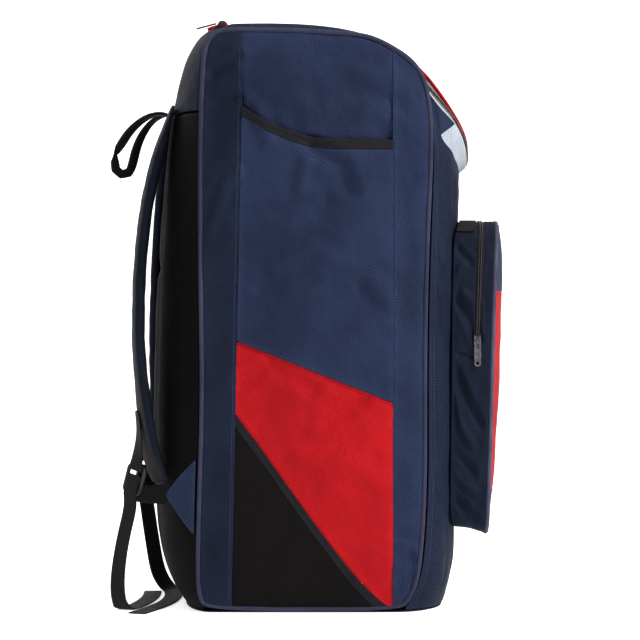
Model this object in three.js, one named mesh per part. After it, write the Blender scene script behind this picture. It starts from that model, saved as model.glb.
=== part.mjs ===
// Cricket kit bag: a tall, narrow duffle bag worn on the back, standing on its base.
// Millimetres, +Z up, the front of the bag towards -Y, the shoulder straps towards +Y.
// The origin is on the floor, under the middle of the base panel.

import * as THREE from 'three';
import { mergeVertices } from 'three/addons/utils/BufferGeometryUtils.js';

// Main bag
const sideHeight = 769;                // floor to the top of a side panel's piping
const sideDepth = 304;                 // front piping to back piping of a side panel
const halfWidth = 150;                 // middle plane to the piping of a side panel
const backSwell = 77;                  // how far the middle of the back stands out behind its piping
const frontSwell = 46;                 // how far the middle of the front stands out before its piping
const topSwell = 12;                   // how far the middle of the lid stands above its piping
const sideSwell = 15;                  // how far a side panel bulges
const sideSwellReach = 95;             // distance from the piping at which a side panel's bulge is full
const clothWall = 2;
const padWall = 12;                    // foam of the back
const baseWall = 2.4;
const pipingRadius = 3;
const clearance = 0.3;                 // between neighbouring pieces
const yokeFoot = 0.8635 * sideHeight;  // height of the seam between the yoke and the back pad

// Lid and its zip, measured along the bag's middle line from the lid's hinge
const lidLength = 424;
const lidRoundLength = 122;  // the lid's rounded front end
const lidHalfWidth = 0.693 * halfWidth;
const lidRoundness = 2.4;    // exponent of the rounded end: 2 is an ellipse, more is squarer
const lidPipingRadius = 3.2;
const zipTapeWidth = 16;
const zipTapeWall = 1.2;
const zipCoilWidth = 6;
const zipCoilHeight = 2;
const lipHeight = 13;        // how far the lid's tip stands proud of the front
const crescentTip = 9;       // width of the grey band under the tip
const crescentCorner = 24;   // and what it gains at its two corners
const sliderLength = 16;
const sliderWidth = 10;
const sliderHeight = 6;
const zipLoopLength = 26;
const zipLoopWidth = 9;
const zipLoopCord = 2.6;
const zipLoopDroop = 0.1;    // how steeply a loop leans back to the bag

// Side panels
const seamBackFoot = 0.385 * sideDepth;  // the back seam's distance behind the origin, at the floor
const seamBackTop = 0.332 * sideDepth;   // and at the top
const seamFront = 0.316 * sideDepth;     // the front seam's distance before the origin
const mouthLow = 0.81 * sideHeight;      // height of the slip pocket's mouth
const mouthRise = 0.0585 * sideHeight;   // how far the mouth rises to its back end
const mouthFlat = 0.62;                  // share of the mouth that rises
const mouthBinding = 12.5;
const slipCavity = 6;                    // room between the slip pocket and the panel behind it
const slipProud = 1.5;                   // how far the slip pocket's hem stands off the red panel
const slipHem = 8;                       // from the red panel to the foot of the panel behind the slip pocket
const slipEase = 60;                     // height over which that panel comes out again above the mouth
const redTopBack = 0.4655 * sideHeight;  // height of the red panel's top edge at its back end
const redTopFront = 0.36 * sideHeight;   // and at its front end
const meshTop = 0.3407 * sideHeight;     // height of the mesh triangle at the back seam
const meshBinding = 17;                  // width of the band along the triangle's long edge

// Front pocket
const pocketHalfWidth = 0.787 * halfWidth;
const pocketSeat = 0.8;                   // between the pocket's back edge and the curved front
const pocketFoot = 0.139 * sideHeight;
const pocketTop = 0.675 * sideHeight;
const pocketCorner = 30;
const pocketDepthTop = 57;
const pocketDepthFoot = 50;
const pocketDome = 18;
const pocketSag = 9;                      // how far the foot's front edge hangs down
const pocketRedTop = 0.5527 * sideHeight;
const pocketRedFoot = 0.2055 * sideHeight;
const pocketZipEnd = 0.455 * sideHeight;  // height at which the pocket's zip ends on each side
const pocketZipTaper = 6;                 // height over which the gusset closes below the zip
const pocketZipWidth = 11;
const pocketZipSetback = 12;              // from the pocket's piping to its zip
const pocketBindingWidth = 24;
const pullLength = 34;
const pullWidth = 9;
const pullThick = 2.2;
const pullHole = 2.4;                     // radius of the hole at the pull's lower end
const sliderPlate = 2.4;                  // thickness of the slider's plate, under its bridge
const bridgeWidth = 2.8;

// Shoulder straps, webbing and the haul loop
const strapWidth = 68;
const strapThick = 17;
const strapStandLeft = 18;                 // how far the left strap arches off the back
const strapStandRight = 2;                 // the right strap lies on the back
const strapTiltLeft = 7.5;                 // degrees, the strap's outer edge turned towards the bag
const strapTiltRight = 7;
const strapTop = 0.8765 * sideHeight;
const strapFoot = 0.221 * sideHeight;
const strapTopAcross = 0.413 * halfWidth;  // the strap's distance from the middle at its top
const strapFootAcross = 0.62 * halfWidth;  // and at its foot
const webWidth = 25;
const webWall = 1.8;
const lockWidth = 35;
const lockThick = 4.4;
const lockHeight = 0.2237 * sideHeight;    // height of a ladder lock's middle
const lockAcross = 0.647 * halfWidth;
const lockOutLeft = 39;                    // distance from the back pad to the lock's middle
const lockOutRight = 37;
const lockTurn = 48;                       // degrees, the lock's face turned to its own side
const lockLean = 14;                       // degrees, the lock's top leaned towards the bag
const anchorHeight = 0.1977 * sideHeight;
const anchorHalf = 49;                     // half the anchor patch's length along the piping
const anchorReach = 45;                    // the patch's point, measured from the piping
const loopSpacing = 13;                    // half the distance between the haul loop's two ends
const loopWidth = 13;
const loopWall = 4.5;

const rad = THREE.MathUtils.degToRad;
const mix = THREE.MathUtils.lerp;
const smooth = THREE.MathUtils.smoothstep;

// Sections of the bag's wrap-around wall, up the back, over the lid and down the front.
// back and up place the side piping, as shares of sideDepth and of the piping's own height.
// swell is a share of backSwell (plus) or frontSwell (minus), rise a share of topSwell.
// square is the exponent of the section across the bag: more is boxier.
const sections = [
  { back: 0.493, up: 0.000, swell: 0.480, rise: 0.00, square: 3.0 },
  { back: 0.526, up: 0.029, swell: 0.560, rise: -0.17, square: 2.8 },
  { back: 0.531, up: 0.073, swell: 0.710, rise: -0.67, square: 2.7 },
  { back: 0.528, up: 0.132, swell: 0.890, rise: -0.58, square: 2.6 },
  { back: 0.520, up: 0.240, swell: 1.000, rise: -0.25, square: 2.6 },
  { back: 0.510, up: 0.367, swell: 1.045, rise: 0.00, square: 2.6 },
  { back: 0.516, up: 0.498, swell: 0.987, rise: 0.00, square: 2.6 },
  { back: 0.520, up: 0.648, swell: 0.883, rise: 0.00, square: 2.6 },
  { back: 0.520, up: 0.795, swell: 0.740, rise: 0.00, square: 2.7 },
  { back: 0.513, up: 0.903, swell: 0.571, rise: 0.25, square: 2.8 },
  { back: 0.503, up: 0.956, swell: 0.440, rise: 0.25, square: 3.0 },
  { back: 0.484, up: 0.982, swell: 0.325, rise: 0.58, square: 3.2 },
  { back: 0.447, up: 0.996, swell: 0.260, rise: 0.70, square: 3.8 },
  { back: 0.391, up: 1.000, swell: 0.170, rise: 0.92, square: 5.0 },
  { back: 0.260, up: 1.000, swell: 0.050, rise: 1.00, square: 7.0 },
  { back: 0.086, up: 0.999, swell: 0.000, rise: 1.00, square: 8.0 },
  { back: -0.086, up: 0.995, swell: 0.000, rise: 0.95, square: 8.0 },
  { back: -0.217, up: 0.988, swell: 0.000, rise: 0.60, square: 8.0 },
  { back: -0.320, up: 0.968, swell: -0.050, rise: 0.32, square: 7.0 },
  { back: -0.390, up: 0.949, swell: -0.110, rise: 0.10, square: 6.0 },
  { back: -0.438, up: 0.925, swell: -0.220, rise: -0.25, square: 5.4 },
  { back: -0.464, up: 0.897, swell: -0.340, rise: 0.06, square: 5.2 },
  { back: -0.479, up: 0.857, swell: -0.550, rise: 0.25, square: 5.2 },
  { back: -0.485, up: 0.805, swell: -0.820, rise: 0.00, square: 5.2 },
  { back: -0.474, up: 0.706, swell: -1.000, rise: 0.00, square: 5.6 },
  { back: -0.461, up: 0.586, swell: -1.020, rise: 0.00, square: 6.0 },
  { back: -0.454, up: 0.417, swell: -1.040, rise: 0.00, square: 6.0 },
  { back: -0.457, up: 0.230, swell: -1.000, rise: 0.00, square: 5.6 },
  { back: -0.444, up: 0.124, swell: -1.065, rise: -0.25, square: 5.4 },
  { back: -0.428, up: 0.067, swell: -1.110, rise: -0.25, square: 5.2 },
  { back: -0.401, up: 0.031, swell: -1.170, rise: -0.33, square: 5.0 },
  { back: -0.349, up: 0.000, swell: -1.350, rise: 0.00, square: 5.0 },
];
const hingeRow = 12;
const pipingFoot = pipingRadius + 1;
const crownFoot = baseWall + clearance;
const lastRow = sections.length - 1;

// Dents and folds of a side panel. back and up place one, as shares of sideDepth and
// sideHeight; angle is its direction in degrees from level; length and width are half sizes,
// as shares of sideDepth; depth is a share of sideSwell, and minus is a ridge.
const sideFolds = [
  { back: 0.26, up: 0.69, angle: -12, length: 0.24, width: 0.060, depth: 0.42 },
  { back: 0.02, up: 0.74, angle: -55, length: 0.16, width: 0.050, depth: 0.34 },
  { back: -0.06, up: 0.66, angle: -35, length: 0.22, width: 0.045, depth: 0.28 },
  { back: 0.43, up: 0.70, angle: -60, length: 0.20, width: 0.050, depth: 0.40 },
  { back: 0.40, up: 0.86, angle: -50, length: 0.14, width: 0.045, depth: 0.40 },
  { back: 0.10, up: 0.43, angle: 14, length: 0.26, width: 0.045, depth: 0.22 },
  { back: -0.24, up: 0.12, angle: 24, length: 0.13, width: 0.040, depth: 0.36 },
];

const edgeRow = (row) => new THREE.Vector3(
  0, row.back * sideDepth, pipingFoot + row.up * (sideHeight - pipingFoot));
const crownRow = (row) => {
  const edge = edgeRow(row);
  edge.y += row.swell * (row.swell > 0 ? backSwell : frontSwell);
  edge.z = row.up === 0 ? crownFoot : edge.z + row.rise * topSwell;
  return edge;
};
const edgeCurve = new THREE.CatmullRomCurve3(sections.map(edgeRow), false, 'centripetal');
const crownCurve = new THREE.CatmullRomCurve3(sections.map(crownRow), false, 'centripetal');
const edgeAt = (row) => edgeCurve.getPoint(row / lastRow);
const crownAt = (row) => crownCurve.getPoint(row / lastRow);

function squareAt(row) {
  const low = Math.min(Math.floor(row), lastRow - 1);
  return mix(sections[low].square, sections[low + 1].square, row - low);
}

// Point of the wrap-around wall, at a section row and a distance across from the middle
function wrapPoint(row, across) {
  const edge = edgeAt(row);
  const crown = crownAt(row);
  const dome = 1 - Math.abs(across / halfWidth) ** squareAt(row);
  return new THREE.Vector3(across, mix(edge.y, crown.y, dome), mix(edge.z, crown.z, dome));
}

function wrapNormal(row, across) {
  const step = 0.05;
  const low = Math.max(row - step, 0);
  const high = Math.min(row + step, lastRow);
  const along = wrapPoint(high, across).sub(wrapPoint(low, across));
  const sideways = wrapPoint(row, across + 1).sub(wrapPoint(row, across - 1));
  return along.cross(sideways).normalize();
}

// Section row at which the wrap-around wall has a height, at the back or at the front
function rowAtHeight(height, across, isBack) {
  let low = isBack ? 0 : 18;
  let high = isBack ? 11 : lastRow;
  for (let i = 0; i < 30; i += 1) {
    const middle = (low + high) / 2;
    const isBelow = wrapPoint(middle, across).z < height;
    if (isBelow === isBack) low = middle;
    else high = middle;
  }
  return (low + high) / 2;
}
const backAt = (across, height) => wrapPoint(rowAtHeight(height, across, true), across);
const frontAt = (across, height) => wrapPoint(rowAtHeight(height, across, false), across);

// Row of the middle line at a length measured from the lid's hinge
const crownLengths = [];
const crownSteps = 8;
for (let i = 0; i <= (lastRow - hingeRow) * crownSteps; i += 1) {
  const row = hingeRow + i / crownSteps;
  const last = crownLengths[i - 1];
  const length = last ? last.length + crownAt(row).distanceTo(crownAt(last.row)) : 0;
  crownLengths.push({ row, length });
}
function rowAtLength(length) {
  const i = Math.max(1, crownLengths.findIndex((entry) => entry.length >= length));
  const before = crownLengths[i - 1];
  const after = crownLengths[i];
  return mix(before.row, after.row, (length - before.length) / (after.length - before.length));
}

// Closed mesh from points and faces, turned so that its faces point out
function solid(points, faces) {
  const kept = faces.filter(([a, b, c]) => a !== b && b !== c && a !== c);
  let volume = 0;
  for (const [a, b, c] of kept) {
    volume += points[a].dot(new THREE.Vector3().crossVectors(points[b], points[c]));
  }
  const index = kept.flatMap(([a, b, c]) => (volume < 0 ? [a, c, b] : [a, b, c]));
  const geometry = new THREE.BufferGeometry();
  geometry.setAttribute('position',
    new THREE.Float32BufferAttribute(points.flatMap((point) => point.toArray()), 3));
  geometry.setIndex(index);
  return geometry;
}

// Sheet of cloth over the cells of one or more grids. A cell is four corners, each a list of
// numbers that surface() turns into a point and an outward normal; equal corners are one.
// The cloth lies between lift and lift less wall, measured outwards from the surface.
function sheet(cells, surface, wall = clothWall, lift = 0) {
  const index = new Map();
  const corners = [];
  const cornerIndex = (corner) => {
    const key = corner.map((value) => Math.round(value * 1000)).join();
    if (!index.has(key)) {
      index.set(key, corners.length);
      corners.push(corner);
    }
    return index.get(key);
  };
  const faces = [];
  const edges = new Map();
  for (const cell of cells) {
    const ring = cell.map(cornerIndex).filter((value, i, list) => value !== list[(i + 1) % list.length]);
    for (let i = 1; i + 1 < ring.length; i += 1) faces.push([ring[0], ring[i], ring[i + 1]]);
    if (ring.length < 3) continue;
    ring.forEach((from, i) => {
      const to = ring[(i + 1) % ring.length];
      const back = `${to},${from}`;
      if (edges.has(back)) edges.delete(back);
      else edges.set(`${from},${to}`, [from, to]);
    });
  }
  const outer = [];
  const inner = [];
  for (const corner of corners) {
    const { point, normal } = surface(...corner);
    outer.push(point.clone().addScaledVector(normal, lift));
    inner.push(point.clone().addScaledVector(normal, lift - wall));
  }
  const count = corners.length;
  const all = faces.flatMap(([a, b, c]) => [[a, b, c], [a + count, c + count, b + count]]);
  for (const [from, to] of edges.values()) {
    all.push([from, from + count, to + count], [from, to + count, to]);
  }
  return solid([...outer, ...inner], all);
}

// Cells of a grid whose lines are lists of corners of one length
function cellsBetween(lines) {
  const cells = [];
  for (let i = 0; i + 1 < lines.length; i += 1) {
    for (let j = 0; j + 1 < lines[i].length; j += 1) {
      cells.push([lines[i][j], lines[i][j + 1], lines[i + 1][j + 1], lines[i + 1][j]]);
    }
  }
  return cells;
}

const steps = (from, to, count) => Array.from({ length: count + 1 }, (_, i) => mix(from, to, i / count));
const blend = (a, b, share) => a.map((value, i) => mix(value, b[i], share));

// Solid swept through stations, each with its middle, its section's two directions and sizes.
// A closed sweep joins its last station to its first. Opposite sides of the outline are split
// along matching diagonals, so a twisted strip keeps its thickness, and so do two runs of a
// strip that lie on each other, whichever way each of them goes.
function sweep(stations, outline, isClosed = false) {
  const points = [];
  for (const { at, across, out } of stations) {
    for (const [u, v] of outline) {
      points.push(at.clone().addScaledVector(across, u).addScaledVector(out, v));
    }
  }
  const sides = outline.length;
  const faces = [];
  const spans = isClosed ? stations.length : stations.length - 1;
  for (let i = 0; i < spans; i += 1) {
    const after = (i + 1) % stations.length;
    const here = i * sides;
    const next = after * sides;
    const goesDown = stations[after].at.z < stations[i].at.z;
    for (let j = 0; j < sides; j += 1) {
      const k = (j + 1) % sides;
      if ((j < sides / 2) === goesDown) faces.push([here + j, here + k, next + k], [here + j, next + k, next + j]);
      else faces.push([here + j, here + k, next + j], [here + k, next + k, next + j]);
    }
  }
  if (!isClosed) {
    const end = (stations.length - 1) * sides;
    for (let j = 1; j + 1 < sides; j += 1) {
      faces.push([0, j + 1, j], [end, end + j, end + j + 1]);
    }
  }
  return solid(points, faces);
}

const circle = (radius, sides) => Array.from({ length: sides }, (_, i) => {
  const angle = (2 * Math.PI * (i + 0.5)) / sides;
  return [radius * Math.cos(angle), radius * Math.sin(angle)];
});
const band = (width, wall) => [
  [-width / 2, -wall / 2], [width / 2, -wall / 2], [width / 2, wall / 2], [-width / 2, wall / 2]];
const pad = (width, wall) => [
  [-0.5, -0.14], [-0.44, -0.42], [-0.2, -0.5], [0.2, -0.5], [0.44, -0.42], [0.5, -0.14],
  [0.5, 0.14], [0.44, 0.42], [0.2, 0.5], [-0.2, 0.5], [-0.44, 0.42], [-0.5, 0.14],
].map(([u, v]) => [u * width, v * wall]);

// Stations of a strip that follows points, with its width along given directions
function stripStations(points, widths, isClosed = false) {
  return points.map((at, i) => {
    const last = points.length - 1;
    const before = points[isClosed ? (i + last) % points.length : Math.max(i - 1, 0)];
    const after = points[isClosed ? (i + 1) % points.length : Math.min(i + 1, last)];
    const along = after.clone().sub(before).normalize();
    const length = widths[i].length();
    const across = widths[i].clone().addScaledVector(along, -widths[i].dot(along)).normalize();
    const out = new THREE.Vector3().crossVectors(across, along).normalize();
    return { at, across: across.multiplyScalar(length), out };
  });
}

// Flat outline given thickness, as one closed solid that starts at height 0
function extruded(shape, depth) {
  const geometry = new THREE.ExtrudeGeometry(shape, { depth, bevelEnabled: false, curveSegments: 6 });
  geometry.deleteAttribute('normal');
  geometry.deleteAttribute('uv');
  return mergeVertices(geometry, 1e-4);
}
const shapeOf = (corners) => new THREE.Shape(corners.map(([u, v]) => new THREE.Vector2(u, v)));

const bag = new THREE.Group();
const navy = { color: '#262e43', roughness: 0.8, metalness: 0 };
const red = { color: '#b81e20', roughness: 0.75, metalness: 0 };
const black = { color: '#141416', roughness: 0.85, metalness: 0 };
const lightGrey = { color: '#9aa3ab', roughness: 0.8, metalness: 0 };
const hardBlack = { color: '#1a1a1c', roughness: 0.45, metalness: 0 };
const gunmetal = { color: '#4a4a4e', roughness: 0.35, metalness: 0.9 };

function add(name, geometry, look) {
  const mesh = new THREE.Mesh(geometry, new THREE.MeshStandardMaterial(look));
  mesh.name = name;
  bag.add(mesh);
}

// Wrap-around wall, given by lengths from the hinge; fade is the share of the lip's height
const lipAt = (length) => lipHeight
  * smooth(length, lidLength - lidRoundLength, lidLength) ** 1.5;
function wrapSurface(length, across, fade = 0) {
  const row = rowAtLength(length);
  const normal = wrapNormal(row, across);
  const point = wrapPoint(row, across).addScaledVector(normal, lipAt(length) * fade);
  return { point, normal };
}
const rowSurface = (row, across) => ({ point: wrapPoint(row, across), normal: wrapNormal(row, across) });

// U-shaped line round the lid, a distance outside its edge, from the left hinge round to the right
const straightLength = lidLength - lidRoundLength;
const hingeGap = 1;             // from the hinge seam to the lid's cloth and its zip
const straightPlaces = [hingeGap, 11, 22, 34, 52, 92, 152, 228];
const straightSteps = straightPlaces.length;
const roundSteps = 16;
function uLine(outside) {
  const half = lidHalfWidth + outside;
  const round = lidRoundLength + outside;
  const power = 2 / lidRoundness;
  const left = straightPlaces.map((at) => [at, -half]);
  const tip = steps(-90, 90, roundSteps).map((angle) => {
    const cos = Math.max(0, Math.cos(rad(angle)));
    const sin = Math.sin(rad(angle));
    return [straightLength + round * cos ** power, half * Math.sign(sin) * Math.abs(sin) ** power];
  });
  const right = left.map(([at, across]) => [at, -across]).reverse();
  return [...left, ...tip, ...right];
}
const withFade = (line, fade) => line.map(([at, across]) => [at, across, fade]);
const firstRound = straightSteps;
const lastRound = straightSteps + roundSteps;

// The lid, in rows from one arm of the U to the other
const lidColumns = 8;
const lidEdge = uLine(-clearance / 2);
const lidRows = Array.from({ length: straightSteps + roundSteps / 2 + 1 }, (_, i) => {
  const left = lidEdge[i];
  const right = lidEdge[lidEdge.length - 1 - i];
  return steps(0, 1, lidColumns).map((share) => [...blend(left, right, share), 1]);
});
add('lid', sheet(cellsBetween(lidRows), wrapSurface), navy);

// Red piping round the lid's edge, and the zip's tape and coil outside it
function uStations(outside, lift) {
  const points = withFade(uLine(outside), 1).map((corner) => {
    const { point, normal } = wrapSurface(...corner);
    return { at: point.addScaledVector(normal, lift), normal };
  });
  return stripStations(points.map(({ at }) => at), points.map(({ at, normal }, i) => {
    const before = points[Math.max(i - 1, 0)].at;
    const after = points[Math.min(i + 1, points.length - 1)].at;
    return after.clone().sub(before).cross(normal).normalize();
  }));
}
const tapeStart = 2 * lidPipingRadius + clearance;
const zipOuter = tapeStart + zipTapeWidth;
const lidPipingSeat = 0.6;    // how far the piping is sunk beside the cloth it is sewn to
const lidPipingStations = uStations(lidPipingRadius + clearance / 2, lidPipingRadius - lidPipingSeat);
add('lid_piping', sweep(lidPipingStations, circle(lidPipingRadius, 6)), red);
const tapeEdges = [tapeStart + clearance, zipOuter - clearance / 2];
const tapeLines = tapeEdges.map((outside) => withFade(uLine(outside), 1));
add('main_zip_tape', sheet(cellsBetween(tapeLines), wrapSurface, zipTapeWall), lightGrey);
const coilMiddle = tapeStart + zipTapeWidth / 2;
const coilLift = 2 * clearance + zipCoilHeight / 2;
add('main_zip_coil', sweep(uStations(coilMiddle, coilLift), band(zipCoilWidth, zipCoilHeight)), black);

// Light grey band under the lid's tip, widest at its two corners
const crescentWidth = (share) => (1 - 0.9 * smooth(Math.abs(share), 0.56, 0.74))
  * (crescentTip * (1 - share ** 2) + crescentCorner * Math.sin(Math.PI * Math.abs(share) ** 1.2) ** 2);
const zipLine = uLine(zipOuter);
function crescentOuter(i, extra) {
  const share = (2 * (i - firstRound)) / roundSteps - 1;
  const [at, across] = zipLine[i];
  const before = zipLine[i - 1];
  const after = zipLine[i + 1];
  const outwards = new THREE.Vector2(before[1] - after[1], after[0] - before[0]).normalize();
  if (outwards.x < 0) outwards.negate();
  if (Math.abs(share) === 1) outwards.set(0, Math.sign(across));
  const width = crescentWidth(share) + extra;
  return [at + outwards.x * width, across + outwards.y * width];
}
const crescentRange = Array.from({ length: roundSteps - 1 }, (_, i) => firstRound + 1 + i);
const crescentLines = [
  crescentRange.map((i) => {
    const [at, across] = blend(zipLine[i], crescentOuter(i, 0), 0.02);
    return [at, across, 1];
  }),
  crescentRange.map((i) => [...crescentOuter(i, -clearance), 0]),
];
add('front_crescent', sheet(cellsBetween(crescentLines), wrapSurface), lightGrey);

// Front panel: its two arms beside the zip, the part round the tip, and the part below
const panelHalf = halfWidth - pipingRadius - clearance;
const panelSplit = lidLength + zipOuter + crescentTip + 40;
const wallEnd = crownLengths[crownLengths.length - 1].length;
const sideSteps = 4;
const acrossShares = [-1, -0.94, -0.82, -0.55, 0, 0.55, 0.82, 0.94, 1];
const acrossPlaces = acrossShares.map((share) => share * panelHalf);
const panelInner = uLine(zipOuter + clearance / 2).map((corner, i) => (
  i > firstRound && i < lastRound ? [...crescentOuter(i, clearance), 0] : [...corner, 0]));
const panelOuter = panelInner.map(([at, across], i) => {
  if (i <= firstRound || i >= lastRound) return [at, Math.sign(across) * panelHalf, 0];
  const step = i - firstRound;
  const mirrored = Math.min(step, roundSteps - step);
  if (mirrored <= sideSteps) {
    return [mix(straightLength, panelSplit, mirrored / sideSteps), Math.sign(across) * panelHalf, 0];
  }
  return [panelSplit, acrossPlaces[step - sideSteps], 0];
});
const fanShares = [0, 0.5, 1];
const fanLines = fanShares.map((share) => (
  panelInner.map((corner, i) => blend(corner, panelOuter[i], share))));
const lowerShares = [0, 0.19, 0.35, 0.5, 0.64, 0.755, 0.84, 0.9, 0.95, 1];
const lowerRows = lowerShares.map((share) => mix(panelSplit, wallEnd, share));
const lowerLines = lowerRows.map((at) => acrossPlaces.map((across) => [at, across, 0]));
add('front_panel', sheet([...cellsBetween(fanLines), ...cellsBetween(lowerLines)], wrapSurface), navy);

// Yoke and padded back, in section rows
const yokeRow = rowAtHeight(yokeFoot, 0, true);
const seamGap = 0.02;          // in section rows
const yokeRows = [yokeRow + seamGap, 9, 9.6, 10.2, 11, 11.6, hingeRow - seamGap];
const rowCells = (rows) => cellsBetween(rows.map((row) => acrossPlaces.map((x) => [row, x])));
add('back_yoke', sheet(rowCells(yokeRows), rowSurface), navy);
const padRows = [0, 0.5, 1, 1.6, 2.3, 3, 4, 5, 6, 7, 8, yokeRow - seamGap];
add('back_pad', sheet(rowCells(padRows), rowSurface, padWall), black);

// Flat base, out to the lower ends of the front and the back
const baseShape = new THREE.Shape([
  ...acrossPlaces.map((x) => new THREE.Vector2(x, wrapPoint(lastRow, x).y)),
  ...acrossPlaces.map((x) => new THREE.Vector2(-x, wrapPoint(0, x).y)),
]);
add('base_panel', extruded(baseShape, baseWall), navy);

// Side panels. The piping's line is a closed loop of points in the plane of the side.
const loopRows = [0, 0.5, 1, 2, 3, 4, 5, 6, 7, 8, 9, 10, 10.5, 11, 11.33, 11.66, 12, 12.33, 12.66, 13,
  13.5, 14, 15, 16, 16.5, 17, 17.5, 18, 18.5, 19, 19.5, 20, 20.5, 21, 22, 23, 24, 25, 26, 27, 28, 29,
  29.5, 30, 30.3, 30.6, 31];
const loop = loopRows.map((row) => {
  const { y, z } = edgeAt(row);
  return new THREE.Vector2(y, z);
});
function insetLoop(inset) {
  return loop.map((point, i) => {
    const before = loop[(i + loop.length - 1) % loop.length];
    const after = loop[(i + 1) % loop.length];
    const a = point.clone().sub(before).normalize();
    const b = after.clone().sub(point).normalize();
    const inwards = new THREE.Vector2(-(a.y + b.y), a.x + b.x).normalize();
    const mitre = inwards.dot(new THREE.Vector2(-a.y, a.x));
    return point.clone().addScaledVector(inwards, inset / Math.max(mitre, 0.5));
  });
}
const panelLoop = insetLoop(pipingRadius + clearance);

function distanceToLoop(y, z) {
  let nearest = Infinity;
  loop.forEach((from, i) => {
    const to = loop[(i + 1) % loop.length];
    const dy = to.x - from.x;
    const dz = to.y - from.y;
    const share = ((y - from.x) * dy + (z - from.y) * dz) / (dy * dy + dz * dz);
    const clamped = Math.min(1, Math.max(0, share));
    nearest = Math.min(nearest, Math.hypot(y - from.x - clamped * dy, z - from.y - clamped * dz));
  });
  return nearest;
}

function sideOut(y, z) {
  const inwards = Math.min(1, distanceToLoop(y, z) / sideSwellReach);
  const bulge = Math.sin((Math.PI / 2) * inwards);
  let folds = 0;
  for (const fold of sideFolds) {
    const dy = y / sideDepth - fold.back;
    const dz = (z - fold.up * sideHeight) / sideDepth;
    const cos = Math.cos(rad(fold.angle));
    const sin = Math.sin(rad(fold.angle));
    const along = (dy * cos + dz * sin) / fold.length;
    const beside = (dz * cos - dy * sin) / fold.width;
    folds += fold.depth * Math.exp(-(along ** 2) - beside ** 2);
  }
  return halfWidth + sideSwell * (bulge - folds * smooth(inwards, 0.04, 0.4));
}

const sideSurface = (side) => (y, z, lift = 0) => ({
  point: new THREE.Vector3(side * (sideOut(y, z) + lift), y, z),
  normal: new THREE.Vector3(side, 0, 0),
});

// Seams between the strips and the middle of a side panel
const backSeam = (z) => mix(seamBackFoot, seamBackTop, z / sideHeight);
const frontSeam = () => -seamFront;
const panelAcross = (share, z) => mix(backSeam(z) - clearance / 2, frontSeam(z) + clearance / 2, share);

// Height of the panel's upper edge over a place on it
function panelTopAt(y) {
  for (let i = 0; i + 1 < panelLoop.length; i += 1) {
    const from = panelLoop[i];
    const to = panelLoop[i + 1];
    if (from.y > sideHeight / 2 && from.x >= y && to.x < y) {
      return mix(from.y, to.y, (from.x - y) / (from.x - to.x));
    }
  }
  return sideHeight;
}
const panelFoot = panelLoop[0].y;

// A strip lies between one stretch of the loop and its seam
function stripCells(stretch, seam, columns) {
  const low = panelFoot;
  const high = panelTopAt(seam(sideHeight));
  const ends = [new THREE.Vector2(seam(low), low), new THREE.Vector2(seam(high), high)];
  const outside = [ends[0], ...stretch, ends[1]];
  const lines = outside.map((point, i) => {
    const isEnd = i === 0 || i === outside.length - 1;
    const height = Math.min(high, Math.max(low, point.y));
    const level = mix(height, mix(low, high, i / (outside.length - 1)), 0.25);
    const seamPoint = isEnd ? [point.x, point.y] : [seam(level), level];
    return steps(0, 1, columns).map((share) => blend([point.x, point.y], seamPoint, share));
  });
  return cellsBetween(lines);
}
const backSeamStrip = (z) => backSeam(z) + clearance / 2;
const frontSeamStrip = (z) => frontSeam(z) - clearance / 2;
const seamMargin = 2;
const backStretch = panelLoop.filter((point, i) => (
  point.x > backSeamStrip(point.y) + seamMargin && i < loop.length / 2 + 2));
const frontStretch = panelLoop.filter((point) => point.x < frontSeamStrip(point.y) - seamMargin).reverse();

// Heights of the lines across the middle of a side panel, at a share from its back seam
const mouthAt = (share) => mouthLow + mouthRise * Math.max(0, 1 - share / mouthFlat) ** 2;
const redTopAt = (share) => mix(redTopBack, redTopFront, share);
const meshEdge = [
  { across: 0.00, up: 1.00 }, { across: 0.16, up: 0.84 }, { across: 0.364, up: 0.61 },
  { across: 0.578, up: 0.38 }, { across: 0.743, up: 0.205 }, { across: 0.90, up: 0.075 },
  { across: 1.00, up: 0.00 },
];
function meshTopAt(share) {
  const i = Math.max(1, meshEdge.findIndex((entry) => entry.across >= share));
  const a = meshEdge[i - 1];
  const b = meshEdge[i];
  return meshTop * mix(a.up, b.up, (share - a.across) / (b.across - a.across));
}

// Cells between two lines across the middle panel, with a lift that may depend on the height
function middleCells(shares, lowAt, highAt, rows, liftAt = () => 0) {
  const lines = shares.map((share) => steps(lowAt(share), highAt(share), rows).map((z) => [
    panelAcross(share, z), z, liftAt(share, z)]));
  return cellsBetween(lines);
}
const middleShares = steps(0, 1, 7);
const panelTop = (share) => panelTopAt(panelAcross(share, sideHeight));
const behindPocket = -(clothWall - slipProud + slipCavity);
const upperLift = (share, z) => (
  behindPocket * (1 - smooth(z, mouthAt(share) - mouthBinding / 2, mouthAt(share) + slipEase)));
const floorAt = () => panelFoot;
const meshShares = [0, 0.16, 0.364, 0.578, 0.743, 0.88];
const meshTipShare = 0.96;
const bandFoot = (share) => Math.max(panelFoot, meshTopAt(share) - meshBinding);
const bandTop = (share) => Math.max(bandFoot(share), meshTopAt(share) - clearance);
const redFoot = (share) => Math.max(panelFoot, meshTopAt(share) + clearance);

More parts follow.
